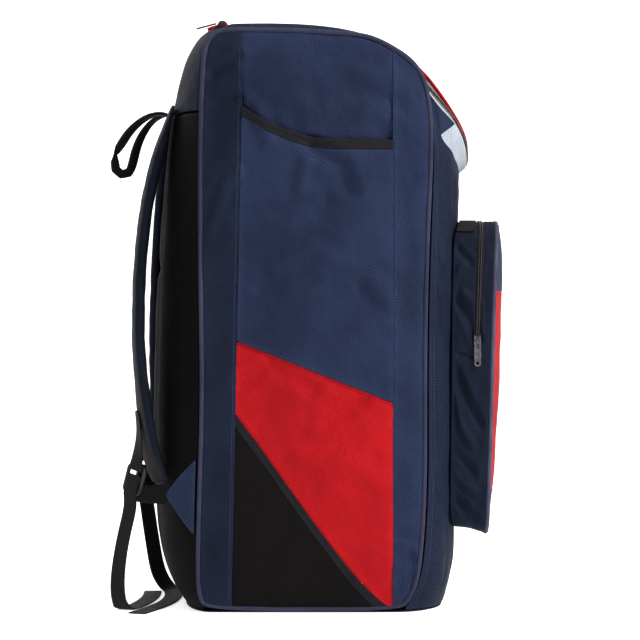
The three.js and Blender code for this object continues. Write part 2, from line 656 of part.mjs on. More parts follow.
for (const [name, side] of [['left', -1], ['right', 1]]) {
  const surface = sideSurface(side);
  const piping = loop.map(({ x, y }) => new THREE.Vector3(side * halfWidth, x, y));
  const sideways = piping.map(() => new THREE.Vector3(1, 0, 0));
  const pipingStations = stripStations(piping, sideways, true);
  add(`side_piping_${name}`, sweep(pipingStations, circle(pipingRadius, 6), true), navy);
  add(`side_back_strip_${name}`, sheet(stripCells(backStretch, backSeamStrip, 2), surface), navy);
  add(`side_front_strip_${name}`, sheet(stripCells(frontStretch, frontSeamStrip, 2), surface), navy);
  add(`side_upper_panel_${name}`, sheet(middleCells(
    middleShares, (share) => redTopAt(share) + slipHem, panelTop, 9, upperLift), surface), navy);
  add(`slip_pocket_${name}`, sheet(middleCells(
    middleShares, (share) => redTopAt(share) + clearance,
    (share) => mouthAt(share) - mouthBinding - clearance, 6, () => slipProud), surface), navy);
  add(`slip_binding_${name}`, sheet(middleCells(
    middleShares, (share) => mouthAt(share) - mouthBinding, mouthAt, 1, () => slipProud + 0.4), surface,
  clothWall + 0.8), black);
  const redCells = middleCells([...meshShares, meshTipShare, 1], redFoot, redTopAt, 5);
  add(`red_panel_${name}`, sheet(redCells, surface), red);
  const bindingCells = middleCells([...meshShares, meshTipShare], bandFoot, bandTop, 1);
  add(`mesh_binding_${name}`, sheet(bindingCells, surface), black);
  add(`mesh_panel_${name}`, sheet(middleCells(
    meshShares, floorAt, (share) => Math.max(panelFoot, bandFoot(share) - clearance), 4), surface), black);
}

// Front pocket. Its outline is a closed ring of places across and up, seen from the front.
const cornerSteps = 3;
const pocketRing = [];
const ringCorners = [
  { across: 1, isTop: false, from: -90 }, { across: 1, isTop: true, from: 0 },
  { across: -1, isTop: true, from: 90 }, { across: -1, isTop: false, from: 180 },
];
for (const { across, isTop, from } of ringCorners) {
  const level = isTop ? pocketTop - pocketCorner : pocketFoot + pocketCorner;
  const middle = new THREE.Vector2(across * (pocketHalfWidth - pocketCorner), level);
  for (const angle of steps(from, from + 90, cornerSteps)) {
    pocketRing.push(new THREE.Vector2(
      middle.x + pocketCorner * Math.cos(rad(angle)), middle.y + pocketCorner * Math.sin(rad(angle))));
  }
}
const ringPoints = [];
pocketRing.forEach((point, i) => {
  const next = pocketRing[(i + 1) % pocketRing.length];
  const isCornerEnd = i % (cornerSteps + 1) === cornerSteps;
  const isUpright = Math.abs(point.x - next.x) < 1;
  const zipShare = (pocketZipEnd - point.y) / (next.y - point.y);
  const closedShare = zipShare - pocketZipTaper / (next.y - point.y);
  const uprightShares = [0, zipShare / 2, zipShare, closedShare, (1 + zipShare) / 2].sort((a, b) => a - b);
  const shares = isCornerEnd ? (isUpright ? uprightShares : [0, 0.25, 0.5, 0.75]) : [0];
  for (const share of shares) ringPoints.push(point.clone().lerp(next, share));
});
const ringCount = ringPoints.length;
const ringNormal = (i) => {
  const before = ringPoints[(i + ringCount - 1) % ringCount];
  const after = ringPoints[(i + 1) % ringCount];
  return new THREE.Vector2(after.y - before.y, before.x - after.x).normalize();
};
const pocketShare = (z) => (z - pocketFoot) / (pocketTop - pocketFoot);
const pocketBackY = (x, z) => frontAt(x * (1 - clothWall / pocketHalfWidth), z).y - pocketSeat;
const rimY = (z) => pocketBackY(pocketHalfWidth, z) - mix(pocketDepthFoot, pocketDepthTop, pocketShare(z));

const sagAt = (z) => pocketSag * (1 - smooth(z, pocketFoot, pocketFoot + 2 * pocketCorner));

// Point and normal of the pocket's wall: i counts round the ring, inset runs from rim to bag
const ringDepth = (i) => {
  const place = ringPoints[i % ringCount];
  return pocketBackY(place.x, place.y) - rimY(place.y);
};
function ringSurface(i, inset) {
  const place = ringPoints[i % ringCount];
  const normal = ringNormal(i % ringCount);
  const out = 1 - inset / ringDepth(i);
  const sag = sagAt(place.y) * out ** 2;
  return {
    point: new THREE.Vector3(place.x, rimY(place.y) + inset, place.y - sag),
    normal: new THREE.Vector3(normal.x, 0, normal.y),
  };
}
const rimInset = pipingRadius + clearance;
const zipFront = rimInset + pocketZipSetback;
const zipBack = zipFront + pocketZipWidth;
const zipMeet = (zipFront + zipBack) / 2;
const hasZip = (i) => ringPoints[i % ringCount].y > pocketZipEnd - 1;
const ringTurn = Array.from({ length: ringCount + 1 }, (_, i) => i);
const ringLine = (insetAt) => ringTurn.map((i) => [i % ringCount, insetAt(i)]);
const gussetBackEdge = (i) => (hasZip(i) ? zipBack : zipMeet) + clearance / 2;
const gussetFrontEdge = (i) => (hasZip(i) ? zipFront : zipMeet) - clearance / 2;
add('pocket_gusset_back', sheet(cellsBetween([
  ringLine(ringDepth), ringLine((i) => (ringDepth(i) + gussetBackEdge(i)) / 2), ringLine(gussetBackEdge)]),
ringSurface), navy);
add('pocket_gusset_front', sheet(cellsBetween([
  ringLine(gussetFrontEdge), ringLine(() => rimInset)]), ringSurface), navy);
const zipRun = ringTurn.filter((i) => i < ringCount && hasZip(i));
add('pocket_zip', sheet(cellsBetween([
  zipRun.map((i) => [i, zipBack - clearance / 2]), zipRun.map((i) => [i, zipFront + clearance / 2])]),
ringSurface, zipTapeWall), black);
const bindingRun = ringTurn.filter((i) => i < ringCount && ringNormal(i).y > 0.3);
add('pocket_binding', sheet(cellsBetween([
  bindingRun.map((i) => [i, ringDepth(i) - clearance]),
  bindingRun.map((i) => [i, Math.max(zipBack, ringDepth(i) - pocketBindingWidth)])]),
ringSurface, clothWall, clothWall + clearance), black);

const rimPoints = ringPoints.map((place, i) => {
  const { point, normal } = ringSurface(i, 0);
  return point.addScaledVector(normal, -pipingRadius / 2);
});
const rimStations = stripStations(rimPoints, rimPoints.map((_, i) => ringSurface(i, 0).normal), true);
add('pocket_piping', sweep(rimStations, circle(pipingRadius, 6), true), lightGrey);

// Face of the pocket, in three cloths one above the other
const faceHalf = pocketHalfWidth - pipingRadius * 1.5 - clearance;
const faceFoot = pocketFoot + pipingRadius * 1.5 + clearance;
const faceTop = pocketTop - pipingRadius * 1.5 - clearance;
const faceCorner = pocketCorner - pipingRadius * 1.5;
function facePoint(x, z) {
  const domeX = 1 - Math.min(1, Math.abs(x / faceHalf)) ** 2.6;
  const domeZ = 1 - Math.min(1, Math.abs(2 * pocketShare(z) - 1)) ** 5;
  const dome = pocketDome * domeX * (0.35 + 0.65 * domeZ) * mix(0.72, 1.12, pocketShare(z));
  return new THREE.Vector3(x, rimY(z) - dome, z - sagAt(z));
}
function faceSurface(x, z) {
  const upward = facePoint(x, z + 1).sub(facePoint(x, z - 1));
  const sideways = facePoint(x + 1, z).sub(facePoint(x - 1, z));
  const normal = upward.cross(sideways).normalize();
  return { point: facePoint(x, z), normal: normal.y > 0 ? normal.negate() : normal };
}
function faceHalfAt(z) {
  const past = Math.max(0, faceCorner - Math.min(faceTop - z, z - faceFoot));
  return faceHalf - faceCorner + Math.sqrt(Math.max(0, faceCorner ** 2 - past ** 2));
}
const faceCorners = [0, 0.12, 0.4, 1];
const footHeights = [...faceCorners.map((share) => faceFoot + share * faceCorner), pocketRedFoot];
const topCorner = faceCorners.map((share) => faceTop - share * faceCorner).reverse();
const topHeights = [pocketRedTop, (pocketRedTop + topCorner[0]) / 2, ...topCorner];
const faceParts = [
  { name: 'foot', heights: footHeights, look: navy },
  { name: 'red', heights: steps(pocketRedFoot + clearance, pocketRedTop - clearance, 5), look: red },
  { name: 'top', heights: topHeights, look: navy },
];
for (const { name, heights, look } of faceParts) {
  const lines = heights.map((z) => steps(-faceHalfAt(z), faceHalfAt(z), 8).map((x) => [x, z]));
  add(`pocket_face_${name}`, sheet(cellsBetween(lines), faceSurface), look);
}

// Pocket zip's slider, on the left side at the zip's lower end: a plate and the bridge on it
const sliderZ = pocketZipEnd + sliderLength / 2;
const zipMiddleY = rimY(sliderZ) + zipMeet;
const sliderFace = pocketHalfWidth + clearance;
const sliderOutline = [
  [-0.5, -0.3], [-0.3, -0.5], [0.3, -0.5], [0.5, -0.3],
  [0.42, 0.5], [0.14, 0.36], [-0.14, 0.36], [-0.42, 0.5],
].map(([u, v]) => [u * sliderWidth, v * sliderLength]);
const sliderRows = [
  { out: 0, wide: 1, long: 1 }, { out: sliderPlate, wide: 1, long: 1 },
  { out: sliderPlate, wide: bridgeWidth / sliderWidth, long: 0.62 },
  { out: sliderHeight, wide: bridgeWidth / sliderWidth, long: 0.45 },
];
add('pocket_zip_slider', sweep(sliderRows.map(({ out, wide, long }) => ({
  at: new THREE.Vector3(-sliderFace - out, zipMiddleY, sliderZ),
  across: new THREE.Vector3(0, wide, 0),
  out: new THREE.Vector3(0, 0, long),
})), sliderOutline), gunmetal);

// The pull hangs from the slider: a flat tab with a fork at its top and a round hole at its foot
const forkHalf = bridgeWidth / 2 + clearance;
const forkDepth = 0.26 * pullLength;
const pullRound = pullWidth / 2;
const pullOutline = shapeOf([
  [-pullRound, 0], [-forkHalf, 0], [-forkHalf, -forkDepth], [forkHalf, -forkDepth], [forkHalf, 0],
  [pullRound, 0], [pullRound, pullRound - pullLength],
]);
pullOutline.absarc(0, pullRound - pullLength, pullRound, 0, -Math.PI, true);
pullOutline.closePath();
const pullEye = new THREE.Path();
pullEye.absarc(0, pullRound - pullLength, pullHole, 0, 2 * Math.PI, false);
pullOutline.holes.push(pullEye);
const pullGeometry = extruded(pullOutline, pullThick);
pullGeometry.applyMatrix4(new THREE.Matrix4().makeBasis(
  new THREE.Vector3(0, 1, 0), new THREE.Vector3(0, 0, 1), new THREE.Vector3(1, 0, 0)));
pullGeometry.translate(-sliderFace - sliderPlate - 2 * clearance - pullThick, zipMiddleY, sliderZ);
add('pocket_zip_pull', pullGeometry, gunmetal);

// Main zip's two sliders at the hinge ends of the zip, each with a loop of cord to pull it by
const zipSliderAt = straightPlaces[2];
for (const [name, side] of [['left', -1], ['right', 1]]) {
  const across = side * (lidHalfWidth + coilMiddle);
  const middle = wrapSurface(zipSliderAt, across, 0);
  const ahead = wrapSurface(zipSliderAt + 5, across, 0).point;
  const along = ahead.sub(middle.point).normalize();
  const sideways = new THREE.Vector3().crossVectors(along, middle.normal).normalize();
  const base = zipCoilHeight + 3 * clearance;
  const turn = new THREE.Matrix4().makeBasis(along, middle.normal, sideways);
  const body = extruded(shapeOf([
    [-0.5, 0], [0.5, 0], [0.4, 0.55], [0.2, 1], [-0.15, 1], [-0.3, 0.55],
  ].map(([u, v]) => [u * sliderLength, v * sliderHeight])), sliderWidth);
  body.translate(0, base, -sliderWidth / 2).applyMatrix4(turn);
  body.translate(middle.point.x, middle.point.y, middle.point.z);
  add(`main_zip_slider_${name}`, body, hardBlack);

  const loopStart = middle.point.clone()
    .addScaledVector(along, -0.5 * sliderLength - zipLoopCord)
    .addScaledVector(middle.normal, base + sliderHeight / 2);
  const half = (zipLoopWidth - zipLoopCord) / 2;
  const reach = zipLoopLength - zipLoopCord - half;
  const turned = (from, start) => steps(from, from + 180, 4).map((angle) => [
    start + half * Math.cos(rad(angle)), half * Math.sin(rad(angle))]);
  const points = [...turned(-90, reach), ...turned(90, 0)].map(([back, beside]) => loopStart.clone()
    .addScaledVector(along, -back).addScaledVector(sideways, beside)
    .addScaledVector(middle.normal, -back * zipLoopDroop));
  const loopStations = stripStations(points, points.map(() => middle.normal.clone()), true);
  add(`main_zip_loop_${name}`, sweep(loopStations, circle(zipLoopCord / 2, 6), true), black);
}

// Distance of the back's flat facets behind the origin
function facetBackAt(across, height) {
  const i = acrossPlaces.findIndex((place) => place > across);
  const share = (across - acrossPlaces[i - 1]) / (acrossPlaces[i] - acrossPlaces[i - 1]);
  return mix(backAt(acrossPlaces[i - 1], height).y, backAt(acrossPlaces[i], height).y, share);
}

// Shoulder straps, rows from top to foot. up is a share of the height from strapFoot to
// strapTop, stand a share of how far the strap arches off the back, thick of strapThick.
// wide is a share of strapWidth, and turn is added to the strap's tilt, in degrees.
const strapRows = [
  { up: 1.00, stand: 0.00, thick: 0.25, wide: 1.00, turn: 0 },
  { up: 0.95, stand: 0.03, thick: 0.60, wide: 1.00, turn: 0 },
  { up: 0.90, stand: 0.12, thick: 0.90, wide: 1.00, turn: 0 },
  { up: 0.84, stand: 0.35, thick: 1.00, wide: 1.00, turn: 0 },
  { up: 0.76, stand: 0.70, thick: 1.00, wide: 1.00, turn: 0 },
  { up: 0.66, stand: 0.92, thick: 1.00, wide: 1.00, turn: 0 },
  { up: 0.57, stand: 1.00, thick: 1.00, wide: 1.00, turn: 0 },
  { up: 0.44, stand: 0.97, thick: 1.00, wide: 1.00, turn: 0 },
  { up: 0.35, stand: 0.86, thick: 1.00, wide: 1.00, turn: 0 },
  { up: 0.27, stand: 0.72, thick: 1.00, wide: 1.00, turn: 2 },
  { up: 0.19, stand: 0.56, thick: 0.98, wide: 1.00, turn: 5 },
  { up: 0.13, stand: 0.42, thick: 0.93, wide: 0.98, turn: 9 },
  { up: 0.08, stand: 0.26, thick: 0.85, wide: 0.92, turn: 14 },
  { up: 0.04, stand: 0.12, thick: 0.70, wide: 0.80, turn: 20 },
  { up: 0.00, stand: 0.04, thick: 0.40, wide: 0.56, turn: 27 },
];

// A ladder lock is a plate with two slots; its places are (sideways, along, out) from its middle
const lockHalfLength = 20;
const barHalf = 2.7;
const slotHalf = webWidth / 2 + 1.2;
const upperSlot = [barHalf, 14.5];
const lowerSlot = [-13.5, -barHalf];
const lockPlate = shapeOf([
  [-0.5, -0.38], [-0.38, -0.5], [0.38, -0.5], [0.5, -0.38],
  [0.5, 0.38], [0.38, 0.5], [-0.38, 0.5], [-0.5, 0.38],
].map(([u, v]) => [u * lockWidth, v * 2 * lockHalfLength]));
for (const [low, high] of [upperSlot, lowerSlot]) {
  lockPlate.holes.push(shapeOf([[-slotHalf, low], [-slotHalf, high], [slotHalf, high], [slotHalf, low]]));
}
const webFace = lockThick / 2 + 2 * clearance + webWall / 2;

// The adjuster's free tail, from the lock down to the floor and along it. beyond and behind
// are distances from the lock's middle, outwards and backwards; up is a share of the lock's
// height; turn is the strap's direction in degrees, as lockTurn is.
const tailRows = {
  left: [
    { beyond: 1, behind: 4, up: 0.80, turn: 48 }, { beyond: 8, behind: 14, up: 0.58, turn: 48 },
    { beyond: 18, behind: 21, up: 0.31, turn: 50 }, { beyond: 27, behind: 21, up: 0.14, turn: 54 },
    { beyond: 32, behind: 17, up: 0.045, turn: 57 }, { beyond: 26, behind: 9, up: 0, turn: 62 },
    { beyond: 4, behind: 0, up: 0, turn: 68 }, { beyond: -46, behind: -10, up: 0, turn: 75 },
    { beyond: -110, behind: -15, up: 0, turn: 84 }, { beyond: -165, behind: -12, up: 0, turn: 90 },
  ],
  right: [
    { beyond: 1, behind: 3, up: 0.80, turn: 48 }, { beyond: 2, behind: -2, up: 0.58, turn: 48 },
    { beyond: 3, behind: -9, up: 0.31, turn: 50 }, { beyond: 2, behind: -15, up: 0.13, turn: 54 },
    { beyond: -3, behind: -27, up: 0.035, turn: 60 }, { beyond: -12, behind: -34, up: 0, turn: 68 },
    { beyond: -40, behind: -40, up: 0, turn: 82 }, { beyond: -97, behind: -44, up: 0, turn: 92 },
    { beyond: -160, behind: -38, up: 0, turn: 98 }, { beyond: -215, behind: -23, up: 0, turn: 105 },
    { beyond: -263, behind: -6, up: 0, turn: 110 },
  ],
};

const strapSides = [
  { name: 'left', side: -1, stand: strapStandLeft, tilt: strapTiltLeft, lockOut: lockOutLeft },
  { name: 'right', side: 1, stand: strapStandRight, tilt: strapTiltRight, lockOut: lockOutRight },
];
for (const { name, side, stand, tilt, lockOut } of strapSides) {
  // Width direction: sideways, turned towards the bag by an angle
  const widthAt = (turn) => new THREE.Vector3(side * Math.cos(rad(turn)), -Math.sin(rad(turn)), 0);
  const strapPoints = strapRows.map(({ up, stand: share, wide, turn }) => {
    const z = mix(strapFoot, strapTop, up);
    const x = mix(strapFootAcross, strapTopAcross, up ** 0.8);
    const half = (wide * strapWidth) / 2;
    const angle = rad(tilt + turn);
    const rest = Math.max(...steps(-half, half, 12).map((beside) => (
      facetBackAt(x + beside * Math.cos(angle), z) + beside * Math.sin(angle))));
    return new THREE.Vector3(side * x, rest + clearance + share * stand, z);
  });
  const strapWidths = strapRows.map(({ turn }) => widthAt(tilt + turn));
  const stations = stripStations(strapPoints, strapWidths).map(({ at, across, out }, i) => {
    const { thick, wide } = strapRows[i];
    const outwards = out.multiplyScalar(Math.sign(out.y) * thick);
    return {
      at: at.addScaledVector(outwards, strapThick / 2), across: across.multiplyScalar(wide), out: outwards,
    };
  });
  add(`shoulder_strap_${name}`, sweep(stations, pad(strapWidth, strapThick)), navy);

  const lockBack = backAt(lockAcross, lockHeight);
  const lockMiddle = new THREE.Vector3(side * lockAcross, lockBack.y + lockOut, lockHeight);
  const lockAlong = new THREE.Vector3(0, -Math.sin(rad(lockLean)), Math.cos(rad(lockLean)));
  const lockSideways = widthAt(lockTurn);
  lockSideways.addScaledVector(lockAlong, -lockSideways.dot(lockAlong)).normalize();
  const lockFace = new THREE.Vector3().crossVectors(lockSideways, lockAlong).normalize();
  if (lockFace.y < 0) lockFace.negate();
  const lockPoint = (along, out) => lockMiddle.clone()
    .addScaledVector(lockAlong, along).addScaledVector(lockFace, out);
  const plate = extruded(lockPlate, lockThick);
  plate.translate(0, 0, -lockThick / 2);
  const basis = new THREE.Matrix4().makeBasis(
    side < 0 ? lockSideways : lockSideways.clone().negate(), lockAlong, lockFace);
  plate.applyMatrix4(basis).translate(lockMiddle.x, lockMiddle.y, lockMiddle.z);
  add(`ladder_lock_${name}`, plate, hardBlack);

  // Short webbing from the strap's outer face, round the lock's top bar
  const strapRow = 10;
  const outerFace = (i) => stations[i].at.clone()
    .addScaledVector(stations[i].out, strapThick / 2 + (clearance * 4 + webWall / 2) / strapRows[i].thick);
  const topBar = [upperSlot[1], lockHalfLength];
  const endPoints = [
    outerFace(strapRow), outerFace(strapRow + 1),
    lockPoint(topBar[1] + 8, webFace + 1),
    lockPoint(topBar[1] - 1, webFace),
    lockPoint(topBar[0] - 1.2, webFace - 0.6),
    lockPoint(topBar[0] - 2.6, 0),
    lockPoint(topBar[0] - 1.2, 0.6 - webFace),
    lockPoint(topBar[1] - 1, -webFace),
    lockPoint(topBar[1] + 2, -webFace + 0.3),
  ];
  const endWidths = endPoints.map(() => lockSideways);
  endWidths[0] = strapWidths[strapRow];
  endWidths[1] = strapWidths[strapRow + 1];
  endWidths[2] = widthAt(lockTurn - 8);
  const endStations = stripStations(endPoints, endWidths);
  for (const i of [0, 1]) {
    const { across, out } = stations[strapRow + i];
    const facing = Math.sign(out.dot(endStations[i].out));
    endStations[i].across = across.clone().normalize();
    endStations[i].out = out.clone().normalize().multiplyScalar(facing);
  }
  add(`strap_end_webbing_${name}`, sweep(endStations, band(webWidth, webWall)), black);

  // Adjuster webbing: from under the anchor patch to the lock, round its middle bar and down
  const webLift = clearance * 2 + webWall / 2;
  const onBack = (across) => backAt(side * across, anchorHeight).add(new THREE.Vector3(0, webLift, 0));
  const reach = halfWidth - anchorReach;
  const corner = lockMiddle.clone().addScaledVector(lockFace, -webFace - 1.2);
  corner.z = anchorHeight;
  const upright = new THREE.Vector3(0, 0, 1);
  const adjuster = [
    { at: onBack(reach + 22), width: upright },
    { at: onBack(reach + 8), width: upright },
    { at: onBack(reach - 4), width: upright },
    { at: corner.clone().lerp(onBack(reach - 4), 0.45).setX(side * (reach - 4)), width: upright },
    { at: corner, width: upright.clone().add(lockSideways), isMitre: true },
    ...[
      [-1, -webFace - 0.4], [barHalf + 0.8, -webFace], [barHalf + 2.6, 0], [barHalf + 0.8, webFace],
      [-6, webFace], [-lockHalfLength, webFace + 0.6],
    ].map(([along, out]) => ({ at: lockPoint(along, out), width: lockSideways })),
    ...tailRows[name].map(({ beyond, behind, up, turn }) => ({
      at: new THREE.Vector3(
        lockMiddle.x + side * beyond, lockMiddle.y + behind, Math.max(webWall / 2 + 0.1, up * lockHeight)),
      width: widthAt(turn),
    })),
  ];
  const adjusterStations = stripStations(adjuster.map(({ at }) => at), adjuster.map(({ width }) => width));
  adjuster.forEach(({ isMitre, width }, i) => {
    if (isMitre) adjusterStations[i].across = width.clone();
  });
  add(`adjuster_webbing_${name}`, sweep(adjusterStations, band(webWidth, webWall)), black);

  // Three-cornered patch that holds the adjuster at the back piping
  const patchLines = [0, 0.4, 0.75, 1].map((share) => {
    const half = anchorHalf * (1 - share) + 0.5;
    return steps(-half, half, 4).map((up) => [anchorHeight + up, mix(panelHalf, reach + 2, share)]);
  });
  const patchSurface = (z, across) => rowSurface(rowAtHeight(z, side * across, true), side * across);
  add(`anchor_patch_${name}`, sheet(cellsBetween(patchLines), patchSurface, clothWall,
    clothWall + webLift + webWall / 2 + clearance * 2), navy);
}

// Haul loop: a strip from the yoke's seam up, out and down, twisted so that its loop shows
const loopRowsUp = [
  { out: 0, up: 0, turn: 0 }, { out: 9, up: 5, turn: 0 }, { out: 26, up: 1, turn: 10 },
  { out: 41, up: -12, turn: 25 }, { out: 53, up: -28, turn: 40 }, { out: 61, up: -46, turn: 55 },
  { out: 66, up: -66, turn: 62 },
];
const loopRootHeight = yokeFoot + 3;
const loopRoot = new THREE.Vector3(
  0, facetBackAt(loopSpacing - loopWidth / 2, loopRootHeight) + loopWall / 4, loopRootHeight);
const loopSide = (sign) => loopRowsUp.map(({ out, up, turn }, i) => {
  const next = loopRowsUp[Math.min(i + 1, loopRowsUp.length - 1)];
  const before = loopRowsUp[Math.max(i - 1, 0)];
  const along = new THREE.Vector3(0, next.out - before.out, next.up - before.up).normalize();
  const flat = new THREE.Vector3(1, 0, 0).applyAxisAngle(along, rad(turn));
  return {
    at: loopRoot.clone().add(new THREE.Vector3(0, out, up)).addScaledVector(flat, sign * loopSpacing),
    width: flat,
    along,
  };
});
const loopDown = loopSide(-1);
const loopUp = loopSide(1).reverse();
const loopEnd = loopDown[loopDown.length - 1];
const loopTurn = [-50, 0, 50].map((angle) => ({
  at: loopRoot.clone().add(new THREE.Vector3(0, loopRowsUp[6].out, loopRowsUp[6].up))
    .addScaledVector(loopEnd.width, loopSpacing * Math.sin(rad(angle)))
    .addScaledVector(loopEnd.along, loopSpacing * Math.cos(rad(angle))),
  width: loopEnd.width.clone().multiplyScalar(Math.cos(rad(angle)))
    .addScaledVector(loopEnd.along, -Math.sin(rad(angle))),
}));
const loopPath = [...loopDown, ...loopTurn, ...loopUp];
const loopOut = loopPath.map(({ width }, i) => {
  const before = loopPath[Math.max(i - 1, 0)].at;
  const after = loopPath[Math.min(i + 1, loopPath.length - 1)].at;
  return after.clone().sub(before).cross(width).normalize();
});
add('haul_loop', sweep(loopPath.map(({ at }, i) => {
  const before = loopPath[Math.max(i - 1, 0)].at;
  const after = loopPath[Math.min(i + 1, loopPath.length - 1)].at;
  const along = after.clone().sub(before).normalize();
  const out = i > 5 && i < loopPath.length - 6
    ? new THREE.Vector3().crossVectors(loopEnd.width, loopEnd.along).normalize()
    : loopOut[i].clone();
  const across = new THREE.Vector3().crossVectors(out, along).normalize();
  return { at, across, out };
}), band(loopWidth, loopWall)), black);

export default bag;
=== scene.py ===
# %% [markdown]
# # A cricket kit bag
# The bag is a tall soft duffle that stands on its base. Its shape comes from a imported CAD
# model, which is a fixed frame here: nothing in it is moved. This lesson dresses that frame.
# The flat CAD facets become smooth cloth with folds, and zips, stitches and finishes are added.

# %% Load the frame
import math

import bmesh
import bpy
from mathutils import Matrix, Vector, noise
from mathutils.bvhtree import BVHTree
from mathutils.kdtree import KDTree


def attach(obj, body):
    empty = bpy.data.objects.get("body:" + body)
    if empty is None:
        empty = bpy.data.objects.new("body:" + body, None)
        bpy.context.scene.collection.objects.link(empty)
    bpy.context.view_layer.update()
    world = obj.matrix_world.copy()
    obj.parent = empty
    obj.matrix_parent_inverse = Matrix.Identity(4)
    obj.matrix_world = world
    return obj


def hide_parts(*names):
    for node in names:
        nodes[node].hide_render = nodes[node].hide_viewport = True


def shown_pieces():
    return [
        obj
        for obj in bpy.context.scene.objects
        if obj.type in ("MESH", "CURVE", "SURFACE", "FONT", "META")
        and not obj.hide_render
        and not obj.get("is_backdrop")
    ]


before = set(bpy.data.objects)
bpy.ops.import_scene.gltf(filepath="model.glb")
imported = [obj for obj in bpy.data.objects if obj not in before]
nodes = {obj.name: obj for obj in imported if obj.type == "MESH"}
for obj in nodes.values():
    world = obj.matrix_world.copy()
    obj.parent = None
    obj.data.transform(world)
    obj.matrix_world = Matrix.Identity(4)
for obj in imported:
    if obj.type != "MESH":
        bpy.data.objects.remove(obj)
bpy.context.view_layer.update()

# %% [markdown]
# ## Camera
# The photograph looks squarely at the bag's left side from about three metres. A long lens
# gives the same calm perspective. At the side panel one pixel is about 1.3 mm.

# %% Camera
camera_distance = 3.0
camera_height = 0.386
camera_data = bpy.data.cameras.new("camera")
camera_data.lens = 121.5
camera_data.sensor_width = 36
camera_data.clip_end = 60
camera = bpy.data.objects.new("camera", camera_data)
camera.location = (-camera_distance, 0, camera_height)
camera.rotation_euler = (math.radians(90), 0, math.radians(-90))
bpy.context.collection.objects.link(camera)
bpy.context.scene.camera = camera


def on_side(px, py, across=0.15):
    """The place (y, z) that a pixel of the photograph shows, that far to the left of the middle."""
    scale = 0.001315 * (camera_distance - across) / 2.85
    return (320 - px) * scale, camera_height + (320 - py) * scale


# %% [markdown]
# ## Studio
# The floor runs back and curves up into a wall, so no horizon shows behind the bag.
# Big soft area lights give the gentle shade of a shop photograph, with more of it from the
# front of the bag, which is the right-hand side of the picture. The paper glows a little, as
# an overexposed backdrop does, and the plain view transform keeps dark cloth dark.

# %% Studio
def studio_floor():
    profile = [(-7.0, 0.0), (2.6, 0.0)]
    for step in range(1, 13):
        turn = math.radians(90 * step / 12)
        profile.append((2.6 + 1.6 * math.sin(turn), 1.6 - 1.6 * math.cos(turn)))
    profile.append((4.2, 7.0))
    bm = bmesh.new()
    rows = [[bm.verts.new((x, y, z)) for x, z in profile] for y in (-9.0, 9.0)]
    for i in range(len(profile) - 1):
        bm.faces.new((rows[0][i], rows[0][i + 1], rows[1][i + 1], rows[1][i])).smooth = True
    mesh = bpy.data.meshes.new("studio_floor")
    bm.to_mesh(mesh)
    floor = bpy.data.objects.new("studio_floor", mesh)
    bpy.context.collection.objects.link(floor)
    paper = bpy.data.materials.new("studio_paper")
    paper.use_nodes = True
    shader = paper.node_tree.nodes["Principled BSDF"]
    shader.inputs["Base Color"].default_value = (0.93, 0.93, 0.93, 1)
    shader.inputs["Roughness"].default_value = 0.9
    shader.inputs["Emission Color"].default_value = (1, 1, 1, 1)
    shader.inputs["Emission Strength"].default_value = 0.5
    mesh.materials.append(paper)
    floor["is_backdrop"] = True


def soft_light(name, place, size, power):
    data = bpy.data.lights.new(name, "AREA")
    data.shape = "DISK"
    data.size = size
    data.energy = power
    light = bpy.data.objects.new(name, data)
    light.location = place
    light.rotation_euler = (Vector((0, 0, 0.4)) - Vector(place)).to_track_quat("-Z", "Y").to_euler()
    bpy.context.collection.objects.link(light)


studio_floor()
soft_light("key", (-1.5, -2.2, 3.0), 0.8, 160)
soft_light("fill", (-3.2, 1.6, 1.4), 2.4, 12)
soft_light("top", (0.0, -0.2, 3.2), 1.8, 30)
soft_light("behind", (2.2, 2.2, 2.6), 2.0, 60)
world = bpy.data.worlds.new("studio")
world.use_nodes = True
world.node_tree.nodes["Background"].inputs["Color"].default_value = (1, 1, 1, 1)
world.node_tree.nodes["Background"].inputs["Strength"].default_value = 0.33
bpy.context.scene.world = world
bpy.context.scene.view_settings.view_transform = "Standard"

# %% [markdown]
# ## Finishes
# Every finish is a node tree. A small class keeps the trees short to read. Cloth is a woven
# net of threads: two crossed sine waves make the threads, and a slower pair makes the small
# raised diamonds of the bag's polyester. The waves run on the object's own coordinates, so
# they stay in place when the camera moves.

